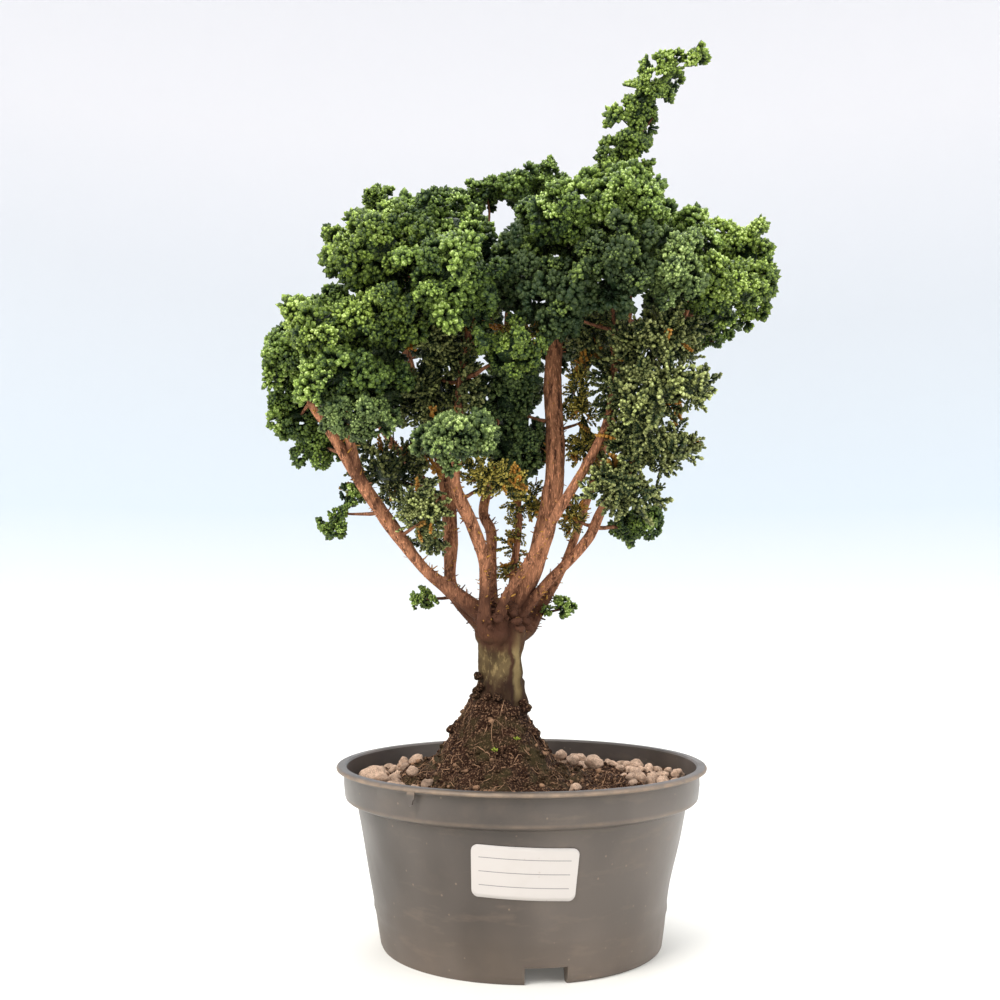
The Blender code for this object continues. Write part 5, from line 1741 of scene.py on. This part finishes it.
def build_stage(settings):
    """The floor, three soft lights, a pale sky and the camera."""
    build_floor(settings)
    for name, light in LIGHTS.items():
        add_light(name, *light)
    world = bpy.data.worlds.new("Studio Sky")
    world.use_nodes = True
    sky = world.node_tree.nodes["Background"]
    sky.inputs["Color"].default_value = (*settings.sky, 1.0)
    sky.inputs["Strength"].default_value = SKY_STRENGTH
    bpy.context.scene.world = world
    view = bpy.data.cameras.new("camera")
    view.lens = settings.lens
    view.sensor_width = SENSOR_WIDTH
    camera = bpy.data.objects.new("camera", view)
    camera.location = (CAMERA_X, -settings.camera_distance, settings.camera_height)
    camera.rotation_euler = (math.pi / 2 + CAMERA_RISE, 0.0, 0.0)
    bpy.context.scene.collection.objects.link(camera)
    bpy.context.scene.camera = camera
    bpy.context.scene.view_settings.view_transform = "Standard"


# Operators and panel


class BONSAI_OT_pot(bpy.types.Operator):
    """Build the nursery pot and its label"""

    bl_idname = "bonsai.pot"
    bl_label = "Pot and Label"

    def execute(self, context):
        settings = context.scene.bonsai_pot
        build_pot(settings)
        build_label(settings)
        return {"FINISHED"}


class BONSAI_OT_soil(bpy.types.Operator):
    """Build the soil and the gravel on it"""

    bl_idname = "bonsai.soil"
    bl_label = "Soil and Gravel"

    def execute(self, context):
        settings = context.scene.bonsai_soil
        build_soil(settings)
        for node in GRAVEL_PATCHES:
            build_gravel(settings, node)
        return {"FINISHED"}


class BONSAI_OT_wood(bpy.types.Operator):
    """Build the trunk, limbs and twigs"""

    bl_idname = "bonsai.wood"
    bl_label = "Wood"

    def execute(self, context):
        names = sorted(name for name in frame["nodes"] if name.startswith("foliage_"))
        build_wood(context.scene.bonsai_wood, names)
        return {"FINISHED"}


class BONSAI_OT_foliage(bpy.types.Operator):
    """Build the sprays of every mass of foliage"""

    bl_idname = "bonsai.foliage"
    bl_label = "Foliage"

    def execute(self, context):
        settings = context.scene.bonsai_foliage
        parts = [part for part in frame["record"]["subparts"]
                 if part["node"].startswith("foliage_")]
        tints = sorted({part["material_slot"] for part in parts})
        materials = {tint: leaf_material("Leaves " + tint, getattr(settings, tint), settings,
                                         INNER_TINT.get(tint, INNER_TINT_ELSE))
                     for tint in tints}
        tree = foliage_tree([part["node"] for part in parts])
        for seed, part in enumerate(sorted(parts, key=lambda part: part["node"])):
            tint = part["material_slot"]
            build_foliage(settings, part["node"], tint, seed, materials[tint], tree)
        return {"FINISHED"}


class BONSAI_OT_stage(bpy.types.Operator):
    """Build the floor, the lights and the camera"""

    bl_idname = "bonsai.stage"
    bl_label = "Stage"

    def execute(self, context):
        build_stage(context.scene.bonsai_stage)
        return {"FINISHED"}


class BONSAI_PT_panel(bpy.types.Panel):
    """Lists the steps that build the bonsai"""

    bl_idname = "BONSAI_PT_panel"
    bl_label = "Hinoki Cypress Bonsai"
    bl_space_type = "VIEW_3D"
    bl_region_type = "UI"
    bl_category = "Bonsai"

    def draw(self, context):
        for operator in OPERATORS:
            self.layout.operator(operator.bl_idname)


SETTINGS = {
    "bonsai_pot": PotSettings,
    "bonsai_soil": SoilSettings,
    "bonsai_wood": WoodSettings,
    "bonsai_foliage": FoliageSettings,
    "bonsai_stage": StageSettings,
}
OPERATORS = (BONSAI_OT_pot, BONSAI_OT_soil, BONSAI_OT_wood, BONSAI_OT_foliage, BONSAI_OT_stage)


def register():
    """Adds the settings, the operators and the panel."""
    for name, group in SETTINGS.items():
        bpy.utils.register_class(group)
        setattr(bpy.types.Scene, name, PointerProperty(type=group))
    for operator in OPERATORS:
        bpy.utils.register_class(operator)
    bpy.utils.register_class(BONSAI_PT_panel)


def unregister():
    """Removes the panel, the operators and the settings."""
    bpy.utils.unregister_class(BONSAI_PT_panel)
    for operator in reversed(OPERATORS):
        bpy.utils.unregister_class(operator)
    for name, group in reversed(SETTINGS.items()):
        delattr(bpy.types.Scene, name)
        bpy.utils.unregister_class(group)


def main():
    """Builds every piece."""
    register()
    bpy.ops.bonsai.pot()
    bpy.ops.bonsai.soil()
    bpy.ops.bonsai.wood()
    bpy.ops.bonsai.foliage()
    bpy.ops.bonsai.stage()
    bpy.context.view_layer.update()


if __name__ == "__main__":
    main()
